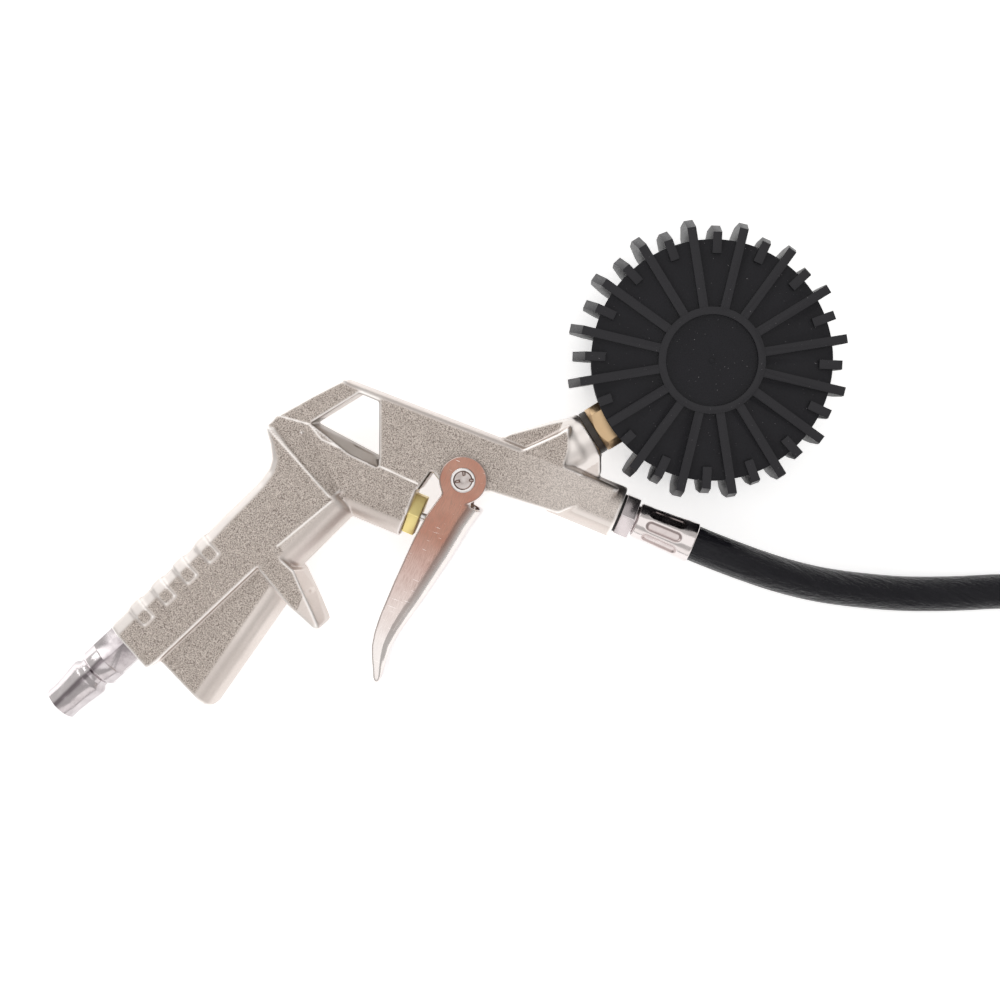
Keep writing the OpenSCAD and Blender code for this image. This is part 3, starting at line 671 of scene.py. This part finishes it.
# The ridge over the grip, and the round finger rest under the hole
RIDGE_AT, RIDGE_ANGLE = (-69.7, -8.3), math.atan2(-14, 29.2)
FINGER_AT, FINGER_ANGLE = (-50.1, -44.8), math.atan2(22.5, 9.6)
FINGER_REACH, FINGER_HALF = 10.0, 12.2
FINGER_LINE = [(-50.7, -45.3), (-39.2, -24)]
# Lines along which the casting is smooth, has painted highlights or has painted shade
TOP_EDGE = [(-50, 17.4), (4, 18.2)]
RIDGES = [[(-69.7, -8.3), (-40.3, -22.6)], [(-67.6, -3.7), (-56.6, -2.4)], FINGER_LINE,
          [(-50.5, -5.6), (-14.1, -7.2)], [(-56, -2.6), (-50.5, -5.6)]]
SLOT_WALL = [(-11.5, -2.2), (-12.9, -8.6)]
SILL = [(-55, -2.2), (-40, -6.6), (-28.6, -7.3)]
# Casting pits on the boss, as x, y, z and radius, and the stub of an ejector pin
PITS = ((27.0, 31.6, 7.6, 0.9), (28.2, 30.2, 7.9, 0.6), (26.2, 30.6, 8.6, 0.5))
STUB = (-57.5, -6, 10.9)


def turned(x, y, start, angle):
    """Distances along and to the left of a line from start."""
    dx, dy = x - start[0], y - start[1]
    return dx * math.cos(angle) + dy * math.sin(angle), dy * math.cos(angle) - dx * math.sin(angle)


def line_distance(points, x, y):
    nearest = 1e9
    for (ax, ay), (bx, by) in zip(points, points[1:]):
        ex, ey = bx - ax, by - ay
        t = np.clip(((x - ax) * ex + (y - ay) * ey) / (ex * ex + ey * ey), 0, 1)
        nearest = np.minimum(nearest, np.hypot(x - ax - ex * t, y - ay - ey * t))
    return nearest


def upper_field(x, y, z):
    """Barrel and valve side, sloping up to the grip behind a ridge."""
    along, left = turned(x, y, RIDGE_AT, RIDGE_ANGLE)
    width = np.interp(along, (0, 12, 32), (4.5, 10, 4))
    half = BARREL_HALF + 2.5 * np.clip(1 - left / width, 0, 1) - 0.4 * np.clip((x - 24) / 12, 0, 1)
    top_edge = np.clip((y - 0.05 * x - 13) / 3, 0, 1) * np.clip((x + 52) / 3, 0, 1)
    body = rounded(outline_distance(UPPER, x, y), np.abs(z) - half, 0.9 + 1.6 * top_edge)
    body = joined(body, slab(BARREL_TOP, x, y, z, HOUSING_R, 2.2), 0.5)
    body = joined(body, rod(x, y, z, (0, BARREL_Y), 0.0, 30, 53.6, HOUSING_R, 0.5), 0.6)
    body = joined(body, rod(x, y, z, (0, VALVE_Y), 0.0, -42, -13.7, HOUSING_R, 0.6), 1.0)
    body = joined(body, slab(BOSS_WEB, x, y, z, WEB_HALF, 0.7), 0.7)
    body = joined(body, slab(BOSS_FACE, x, y, z, 9.3, 0.5), 0.4)
    body = joined(body, rod(x, y, z, BOSS_ROOT, BOSS_ANGLE, 0, 22, BOSS_FLARE_R, 2.5), 1.0)
    return joined(body, rod(x, y, z, BOSS_ROOT, BOSS_ANGLE, 0, BOSS_LEN, BOSS_R, 0.8), 1.6)


def back_bevel(y):
    """Width of the smooth bevel along the back of the grip."""
    return np.interp(y, (-95, -50, -18, -9), (4.2, 3.3, 2.2, 0.8))


def grip_field(x, y, z):
    outline = outline_distance(GRIP_FRONT + GRIP_BACK[1:-1], x, y)
    bevel = np.maximum(back_bevel(y) - line_distance(GRIP_BACK, x, y), 0)
    grip = rounded(outline, np.abs(z) - GRIP_HALF + 0.42 * bevel, 0.9)
    along, across = turned(x, y, PAD_START, PAD_ANGLE)
    for i in range(4):
        beside = np.maximum(np.abs(along - i * PAD_PITCH - PAD_W / 2) - PAD_W / 2,
                            np.abs(across - PAD_REACH / 2 + 1) - PAD_REACH / 2 - 1)
        grip = joined(grip, rounded(beside, grip - PAD_H, 0.15), 0.15)
    along, left = turned(x, y, FINGER_AT, FINGER_ANGLE)
    forward = np.maximum(-left, 0) * FINGER_HALF / FINGER_REACH
    finger = np.maximum((np.hypot(forward, z) - FINGER_HALF) * 0.9, left - 6)
    return joined(grip, rounded(finger, np.maximum(-10 - along, along - 26), 2.2), 0.3)


def block_field(x, y, z):
    """The thinner front of the grip, flat beside the grip and rounded towards the fingers."""
    front = turned(x, y, *BLOCK_EDGE)[1]
    flat = slab(BLOCK_FLAT + BLOCK_FRONT, x, y, z, BLOCK_HALF, 0.6)
    return np.maximum(flat, rounded(front, np.abs(z) - BLOCK_HALF, BLOCK_ROUND))


def hook_field(x, y, z):
    ridge = (outline_distance(HOOK_FACE, x, y) - 0.27 * (HOOK_HALF - np.abs(z))) * 0.965
    side = np.maximum(outline_distance(HOOK, x, y), ridge)
    notch = np.hypot(x + 35.3, y + 56.6) - 0.32
    return cut(rounded(side, np.abs(z) - HOOK_HALF, 0.45), notch + 0 * z, 0.3)


def casting_field(x, y, z):
    body = joined(upper_field(x, y, z), grip_field(x, y, z), 0.4)
    body = joined(body, block_field(x, y, z), 0.8)
    body = joined(body, hook_field(x, y, z), 0.5)
    body = cut(body, outline_distance(WINDOW, x, y) + 0 * z, 0.6)
    sill = outline_distance(WINDOW_SILL, x, y) + 0.26 * (BARREL_HALF - z)
    body = cut(body, np.maximum(sill, -z), 0.4)
    for px, py, pz, pr in PITS:
        body = cut(body, np.sqrt((x - px) ** 2 + (y - py) ** 2 + (z - pz) ** 2) - pr, 0.3)
    sx, sy, sz = STUB
    body = joined(body, np.sqrt((x - sx) ** 2 + (y - sy) ** 2 + (z - sz) ** 2) - 0.75, 0.2)
    body = cut(body, rod(x, y, z, BOSS_ROOT, BOSS_ANGLE, 24, 40, 5.2, 0.1), 0.3)
    body = cut(body, rod(x, y, z, (0, VALVE_Y), 0.0, -20, 0, 6.0, 0.1), 0.3)
    return cut(body, rod(x, y, z, (0, BARREL_Y), 0.0, 50, 60, 4.4, 0.1), 0.3)


def smooth_beyond(distance):
    """1 over the blasted flats, falling to 0 where a smooth strip starts."""
    return np.clip(0.5 + distance, 0, 1)


def on_boss(x, y):
    """Where the gauge boss stands clear of the flat below it."""
    along, left = turned(x, y, BOSS_ROOT, BOSS_ANGLE)
    boss = (along > 12) & (np.abs(left) < 9.6) & (y > 16.5) & (x > 24)
    return boss & (outline_distance(BOSS_FACE, x, y) > -0.4)


def beyond_bevel(x, y):
    """Distance in from the smooth bevel along the back of the grip."""
    return line_distance(GRIP_BACK, x, y) - back_bevel(y)


def casting_grain(points, normals):
    """How blasted the casting is, from 0 on its smooth rounds and bevels to 1 on its flats."""
    x, y = points[:, 0], points[:, 1]
    facing = np.abs(normals[:, 2])
    grain = (facing - 0.93) / 0.05
    turned_end = (x > 34) & (y < 17) | (y < -9) & (x > -38)
    end_grain = np.where(normals[:, 1] < 0, (facing - 0.86) / 0.1, (facing - 0.6) / 0.2)
    grain = np.where(turned_end, end_grain, grain)
    along, left = turned(x, y, RIDGE_AT, RIDGE_ANGLE)
    grain[(left > 0) & (left < 11) & (along > 0) & (along < 33) & (facing > 0.7)] = 1
    grain = np.clip(grain, 0, 1)
    grain[on_boss(x, y) | (x > 34.5) & (y > 17.6)] = 0
    grain *= smooth_beyond(line_distance(TOP_EDGE, x, y) - 2.3)
    grain *= np.where(y < 0, smooth_beyond(beyond_bevel(x, y)), 1)
    on_block = (y < -55) & (np.abs(points[:, 2]) < BLOCK_HALF + 0.6)
    grain *= np.where(on_block, smooth_beyond(-turned(x, y, *BLOCK_EDGE)[1] - 7.6), 1)
    grain *= np.where((x > -36) & (x < -13), smooth_beyond(y + 21.3), 1)
    grain *= np.where((x > 34) & (y < 8), smooth_beyond(y - np.minimum(1.6 + 0.86 * (x - 34.4), 5.6)), 1)
    (ax, ay), (bx, by) = FINGER_LINE
    left = turned(x, y, (ax, ay), math.atan2(by - ay, bx - ax))[1]
    finger = (x < -33.5) & (y < -22.5) & (y > -53) & (left < 0.1) & (outline_distance(HOOK_FACE, x, y) > 0)
    grain[finger] *= 0.5 * np.clip(1 + left[finger] / 4, 0, 1)
    return grain


def casting_edge(points, normals, curvature):
    """How bright the casting is: worn bright along its sharper edges, with painted highlights along its ridges, on
    its back bevel, on the pin stub and on the boss, and brighter over the barrel towards the hose.
    """
    x, y = points[:, 0], points[:, 1]
    facing = np.abs(normals[:, 2])
    edge = np.clip((curvature - 0.35) / 0.6, 0, 1) * (facing > 0.2)
    # Painted highlight along the back bevel of the grip.
    edge = np.maximum(edge, 0.5 * (y < 0) * np.clip(0.5 - beyond_bevel(x, y), 0, 1) * (facing > 0.6))
    # Painted highlights along the ridge lines.
    for line in RIDGES:
        edge = np.maximum(edge, np.clip(1.5 - line_distance(line, x, y) / 0.36, 0, 0.9) * (facing > 0.5))
    # A painted highlight on the pin stub.
    stub = np.hypot(x - STUB[0], y - STUB[1])
    edge = np.maximum(edge, np.clip(1.7 - stub / 0.6, 0, 1) * (facing > 0.3))
    # The boss painted brighter, as a painted highlight.
    boss = on_boss(x, y)
    edge[boss] = np.maximum(edge[boss], 0.5)
    # Brighter over the barrel's flat side towards the hose.
    barrel_face = (y < 17) & (facing > 0.8)
    return np.maximum(edge, 0.35 * np.clip((x - 8) / 22, 0, 1) * barrel_face)


def casting_shade(points, normals):
    """Where the casting gets painted shade: a painted shadow line in the slot beside the packing nut, and painted
    shade on the sill of the hole.
    """
    x, y = points[:, 0], points[:, 1]
    facing = np.abs(normals[:, 2])
    slot = np.clip(1.6 - line_distance(SLOT_WALL, x, y) / 0.5, 0, 1)
    wall = (line_distance(SILL, x, y) < 3.2) & (outline_distance(WINDOW_SILL, x, y) < 0.1) & (facing < 0.7)
    return np.maximum(slot * (facing > 0.3), np.where(wall, 0.62, 0))


def make_casting():
    low, high = (-97, -110, -13.4), (54, 36.5, 13.4)
    step = 0.42
    points, normals, faces, curvature = surface_of(casting_field, low, high, step)
    piece = new_object("casting_shown", points, faces, GUN)
    edge = casting_edge(points, normals, curvature)
    point_values(piece, "shade", casting_shade(points, normals))
    point_values(piece, "edge", edge)
    point_values(piece, "grain", casting_grain(points, normals) * (1 - edge))
    put(piece, "gun", ["body_casting"], LOOKS["cast"])


make_casting()


# ---------------------------------------------------------------- trigger
# Side outline of the lever, its web and free edges, and the hollow between its two cheeks
TRIGGER = [(-7.6, -3.2), (-5, -7.2), (-7.2, -16), (-8.3, -26.2), (-8.9, -41), (-9.1, -53.8), (-8.7, -60.4),
           (-7.8, -65.1), (-6.3, -68.8), (-4.5, -72.4), (-3.2, -75.2), (-2.2, -76.3), (-1.0, -76.2),
           (-0.4, -74.2), (-1.1, -69), (-1.4, -63.4), (-0.6, -58), (0.9, -51.7), (2.7, -44.6), (4.4, -36.5),
           (6.4, -27.3), (8.3, -15.3), (10.1, -8.3), (8.2, -1.4)]
WEB_EDGE = [(-1.2, -76), (-0.4, -74.2), (-1.1, -69), (-1.4, -63.4), (-0.6, -58), (0.9, -51.7), (2.7, -44.6),
            (4.4, -36.5), (6.4, -27.3), (8.3, -15.3), (10.1, -8.3), (10.6, -4)]
FREE_EDGE = [(-7.6, -3.2), (-5, -7.2), (-7.2, -16), (-8.3, -26.2), (-8.9, -41), (-9.1, -53.8), (-8.7, -60.4),
             (-7.8, -65.1), (-6.3, -68.8), (-4.3, -72.1), (-1.8, -76)]
INNER = [(-30, 20), (-30, -90), (-2.4, -90), (-2.6, -69), (-3, -63.4), (-2.2, -58), (-0.7, -51.7),
         (1.1, -44.6), (2.8, -36.5), (4.8, -27.3), (6.7, -15.3), (8.5, -8.3), (8.5, 20)]
SHEET = 1.4
OUTER_HALF = 11.3
EYE_R = 8.3
PIN_R = 2.05


def trigger_field(x, y, z):
    at_web = np.clip((line_distance(FREE_EDGE, x, y) - line_distance(WEB_EDGE, x, y)) / 2, 0, 1)
    bend = 0.35 + np.interp(y, (-74, -60, -30, -8), (2.2, 4.2, 6.6, 7.2)) * at_web
    outer = rounded(outline_distance(TRIGGER, x, y), np.abs(z) - OUTER_HALF, bend)
    eye = rounded(np.hypot(x, y) - EYE_R, np.abs(z) - OUTER_HALF, 0.3)
    outer = joined(outer, eye, 0.3)
    inner_half = OUTER_HALF - SHEET
    inner = rounded(outline_distance(INNER, x, y), np.abs(z) - inner_half, np.maximum(bend - 1.2, 0.2))
    shell = cut(outer, inner, 0.3)
    top = np.maximum(-7.9 - y, np.abs(z) - OUTER_HALF + SHEET)
    shell = cut(shell, top, 0.3)
    return cut(shell, np.hypot(x, y) - PIN_R + 0 * z, 0.2)


def make_trigger():
    step = 0.38
    points, normals, faces, _ = surface_of(trigger_field, (-10, -77, -11.6), (11.2, 9, 11.6), step)
    piece = new_object("trigger_shown", points, faces, GUN)
    # Painted reflection of the room: strongest high on the flat sides, none towards the tip or on the edges.
    painted_reflection = np.interp(points[:, 1], (-66, -44, -22), (0.0, 0.4, 1.0))
    facing = np.abs(normals[:, 2])
    painted_reflection *= np.clip((facing - 0.75) / 0.22, 0, 1)
    point_values(piece, "painted_reflection", painted_reflection)
    # Painted shade along the edges and the bend of the sheet, by how far the surface turns from the flat sides.
    point_values(piece, "shade", np.interp(facing, (0.0, 0.18, 0.3, 0.5), (0.75, 0.35, 0.6, 0.0)))
    put(piece, "trigger", ["trigger_lever"], LOOKS["trigger_steel"])


make_trigger()


# ---------------------------------------------------------------- trigger rivet
RIVET_HEAD_R, RIVET_BODY_R, RIVET_DISH_R, RIVET_DOME_R = 4.3, 1.95, 3.1, 2.4
RIVET_FROM, RIVET_TO = 11.4, 12.5
PUNCH_AT, PUNCH_FIRST, PUNCH_STEP = (0.5, 0.2), math.radians(22), math.radians(95)


def rivet_field(x, y, z):
    r, side = np.hypot(x, y), np.abs(z)
    head = rounded(r - RIVET_HEAD_R, np.maximum(RIVET_FROM - side, side - RIVET_TO), 0.35)
    body = np.minimum(rounded(r - RIVET_BODY_R, side - RIVET_FROM - 0.3, 0.1), head)
    body = cut(body, rounded(r - RIVET_DISH_R, RIVET_TO - 0.5 - side, 0.2), 0.3)
    dome = np.hypot(r, (side - RIVET_TO + 1.8) * 1.6) - RIVET_DOME_R
    body = joined(body, np.maximum(dome, RIVET_FROM - side), 0.3)
    for k in range(3):
        along, across = turned(x, y, PUNCH_AT, PUNCH_FIRST + PUNCH_STEP * k)
        groove = np.hypot(across, side - RIVET_TO + 0.2) - 0.55
        mark = np.maximum(groove, np.maximum(1.7 - along, along - 3.1))
        body = cut(body, mark, 0.2)
    return body


def make_rivet():
    step = 0.2
    points, normals, faces, _ = surface_of(rivet_field, (-5, -5, -13.1), (5, 5, 13.1), step, 0)
    piece = new_object("rivet_shown", points, faces, GUN)
    # Painted shade inside the head: darker deeper in the dish and where its surface slopes, faint on the rim.
    out = np.hypot(points[:, 0], points[:, 1])
    depth = np.clip((RIVET_TO - np.abs(points[:, 2])) / 0.6, 0, 1)
    slope = np.clip((0.97 - np.abs(normals[:, 2])) / 0.35, 0, 1)
    point_values(piece, "shade", np.where(out < 3.6, 0.35 * depth + 0.9 * slope, 0.1))
    put(piece, NODE_BODY["trigger_pin"], ["trigger_pin"], LOOKS["rivet"])


make_rivet()


# ---------------------------------------------------------------- CAD shapes with softened edges
EDGE_WIDTHS = {"inlet_plug": 0.3, "packing_nut": 0.35, "gauge_socket": 0.35, "gauge_case": 0.5,
               "bezel_ring": 0.5, "rubber_boot": 0.35, "hose_adapter": 0.35, "chuck_ferrule": 0.3,
               "chuck_body": 0.4, "chuck_lever": 0.45, "valve_stem": 0.25, "movement_frame": 0.15,
               "dial_posts": 0.15, "dial_screws": 0.2, "pointer": 0.08, "lens": 0.3, "chuck_depressor": 0.12,
               "lever_pin": 0.2, "valve_poppet": 0.25, "valve_seat": 0.2, "tip_link": 0.1,
               "bourdon_tube": 0.4}
# How dark the plug is painted by the angle round it in degrees, as painted reflections
PLUG_DULL = {-180: 0.3, -90: 0.33, 60: 0.26, 88: 0.22, 106: 0.0, 142: 0.0, 158: 0.26, 180: 0.3}
# Angle and width in degrees of a painted dark reflection line along the plug
PLUG_LINE, PLUG_LINE_WIDTH = 97, 7


def plug_shade(piece):
    """Painted reflections round the plug: a bright strip along its upper back, a thin dark line beside that and
    duller sides.
    """
    places = [PLUG.inverted() @ v.co for v in piece.data.vertices]
    turn = np.array([math.degrees(math.atan2(p.x, -p.y)) for p in places])
    side = np.interp(turn, list(PLUG_DULL), list(PLUG_DULL.values()))
    return np.clip(side + 0.7 * np.exp(-((turn - PLUG_LINE) / PLUG_LINE_WIDTH) ** 2), 0, 1)


def soften_nodes():
    for node, width in EDGE_WIDTHS.items():
        slot = NODE_SLOT[node]
        piece = softened(node, width)
        if node == "rubber_boot":
            # Painted light: the rib tops are made lighter than the disc between them.
            height = [(GAUGE.inverted() @ piece.matrix_world @ v.co).z for v in piece.data.vertices]
            point_values(piece, "raised", np.clip((np.array(height) - max(height) + 1.0) / 0.6, 0, 1))
        look = LOOKS[slot]
        if node == "inlet_plug":
            look = LOOKS["plug"]
            # Painted reflections round the plug.
            point_values(piece, "shade", plug_shade(piece))
        put(piece, NODE_BODY[node], [node], look)


soften_nodes()


# ---------------------------------------------------------------- hose ferrule with its crimps
FERRULE_SMALL_R, FERRULE_LARGE_R = 6.1, 7.1
FERRULE_MOUTH_R, FERRULE_BORE_R = 6.3, 3.5
CRIMPS, CRIMP_MID, CRIMP_HALF, CRIMP_W, CRIMP_DEPTH = 8, 10.2, 4.6, 1.5, 0.6


def make_ferrule():
    around, rows = 144, 72
    length = FERRULE_END - FERRULE_START
    points, crimp_shade = [], []
    for row in range(rows + 1):
        h = length * row / rows
        for k in range(around):
            angle = 2 * math.pi * k / around
            radius = FERRULE_SMALL_R + (FERRULE_LARGE_R - FERRULE_SMALL_R) * h / length
            radius -= 0.5 * max(0, 1 - h / 0.6) ** 2 + 0.35 * max(0, 1 - (length - h) / 0.4) ** 2
            turn = (angle * CRIMPS / (2 * math.pi) + 0.5) % 1 - 0.5
            across = turn * 2 * math.pi * radius / CRIMPS
            reach = math.hypot(across, max(abs(h - CRIMP_MID) - CRIMP_HALF, 0)) / CRIMP_W
            radius -= CRIMP_DEPTH / (1 + math.exp((reach - 1) * 8))
            # Painted shade round the rims of the crimps and, fainter, inside them.
            crimp_shade.append(0.75 * math.exp(-((reach - 1.0) / 0.28) ** 2) + 0.3 * (reach < 1))
            points.append((radius * math.cos(angle), radius * math.sin(angle), FERRULE_START + h))
    inside = ((FERRULE_MOUTH_R, FERRULE_END), (FERRULE_MOUTH_R, FERRULE_END - 4.5),
              (FERRULE_BORE_R, FERRULE_END - 4.6), (FERRULE_BORE_R, FERRULE_START))
    for radius, h in inside:
        for k in range(around):
            angle = 2 * math.pi * k / around
            points.append((radius * math.cos(angle), radius * math.sin(angle), h))
    total = len(points) // around
    faces = []
    for row in range(total):
        low, high = row * around, (row + 1) % total * around
        faces += [(low + k, low + (k + 1) % around, high + (k + 1) % around, high + k) for k in range(around)]
    piece = new_object("ferrule_shown", points, faces, BARREL)
    point_values(piece, "shade", np.array(crimp_shade + [0.0] * (len(points) - len(crimp_shade))))
    put(piece, "gun", ["hose_ferrule"], LOOKS["ferrule"])


make_ferrule()


# ---------------------------------------------------------------- springs
def helix(name, start, direction, length, radius, wire, turns, body, node):
    """A wound spring with closed ends."""
    axis = Vector(direction).normalized()
    side = axis.orthogonal().normalized()
    other = axis.cross(side)
    around, count = 10, int(turns * 28)
    centres = []
    for i in range(count + 1):
        t = i / count
        rise = min(max((t - 0.12) / 0.76, 0), 1)
        angle = 2 * math.pi * turns * t
        out = side * math.cos(angle) + other * math.sin(angle)
        centres.append((Vector(start) + axis * (wire + rise * (length - 2 * wire)) + out * radius, out))
    points = []
    for centre, out in centres:
        for k in range(around):
            a = 2 * math.pi * k / around
            points.append(centre + out * wire * math.cos(a) + axis * wire * math.sin(a))
    faces = []
    for i in range(count):
        low, high = i * around, (i + 1) * around
        faces += [(low + k, low + (k + 1) % around, high + (k + 1) % around, high + k) for k in range(around)]
    faces += [tuple(range(around)), tuple(count * around + k for k in range(around))]
    piece = new_object(name, points, faces)
    edit = bmesh.new()
    edit.from_mesh(piece.data)
    bmesh.ops.recalc_face_normals(edit, faces=edit.faces)
    edit.to_mesh(piece.data)
    edit.free()
    put(piece, body, [node], LOOKS["steel"])
    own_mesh(piece)


VALVE_DIRECTION = GUN.to_3x3() @ Vector((1, 0, 0))
helix("valve_spring_shown", GUN @ Vector((-47.95, -18, 0)), VALVE_DIRECTION, 10.9 * MM, 3.2 * MM, 0.45 * MM,
      5.5, "gun", "valve_spring")
helix("lever_spring_shown", CHUCK @ Vector((29, 0, 7.75)), (0, 0, 1), 4.6 * MM, 1.7 * MM, 0.3 * MM, 4.5,
      "gun", "lever_spring")


# ---------------------------------------------------------------- dial
DIAL_FRONT = -12.42
SWEEP = 270
TICKS, MAJOR_EVERY, ARC_STEPS = 60, 5, 90
TICK_OUT, MINOR_IN, MAJOR_IN, ARC_OUT = 30.2, 27.8, 26.2, 30.5
NUMBERS, NUMBER_STEP, NUMBER_R, NUMBER_SIZE = 5, 3, 22.6, 4.6
TURN_SIGN = 1 if Vector(JOINTS["pointer_turn"]["axis"]).dot(GAUGE.to_3x3() @ Vector((0, 0, 1))) > 0 else -1


def dial_angle(share):
    return math.radians(-TURN_SIGN * SWEEP / 2 + TURN_SIGN * SWEEP * share)


def make_dial_marks():
    """Printed scale: ticks along an arc and a number at every quarter of the range."""
    points, faces = [], []

    def bar(angle, inner, outer, width):
        out = Vector((math.cos(angle), math.sin(angle), 0))
        side = Vector((-out.y, out.x, 0)) * width / 2
        first = len(points)
        for along in (inner, outer):
            for s in (-1, 1):
                for z in (DIAL_FRONT, DIAL_FRONT - 0.06):
                    points.append(out * along + side * s + Vector((0, 0, z)))
        faces.extend([(first + a, first + b, first + c, first + d) for a, b, c, d in
                      ((0, 1, 3, 2), (4, 6, 7, 5), (0, 4, 5, 1), (2, 3, 7, 6), (1, 5, 7, 3), (0, 2, 6, 4))])

    for i in range(TICKS + 1):
        major = i % MAJOR_EVERY == 0
        bar(dial_angle(i / TICKS), MAJOR_IN if major else MINOR_IN, TICK_OUT, 0.7 if major else 0.35)
    for i in range(ARC_STEPS):
        width = 30.4 * math.radians(SWEEP) / ARC_STEPS * 1.02
        bar(dial_angle((i + 0.5) / ARC_STEPS), TICK_OUT, ARC_OUT, width)
    piece = new_object("dial_marks", points, faces, GAUGE, smooth=False)
    put(piece, "gun", [], LOOKS["print"])
    for i in range(NUMBERS):
        text = bpy.data.curves.new("number", "FONT")
        text.body = str(i * NUMBER_STEP)
        text.size = NUMBER_SIZE
        text.align_x = "CENTER"
        text.align_y = "CENTER"
        text.extrude = 0.03
        holder = bpy.data.objects.new("number_maker", text)
        scene.collection.objects.link(holder)
        mesh = bpy.data.meshes.new_from_object(holder)
        bpy.data.objects.remove(holder)
        angle = dial_angle(i / (NUMBERS - 1))
        at = (NUMBER_R * math.cos(angle), NUMBER_R * math.sin(angle), DIAL_FRONT - 0.04)
        place = Matrix.Translation(at)
        facing = Matrix.Rotation(math.radians(-90), 4, "Z") @ Matrix.Rotation(math.pi, 4, "Y")
        mesh.transform(GAUGE @ place @ facing)
        number = bpy.data.objects.new(f"dial_number_{i}", mesh)
        scene.collection.objects.link(number)
        put(number, "gun", [], LOOKS["print"])


make_dial_marks()
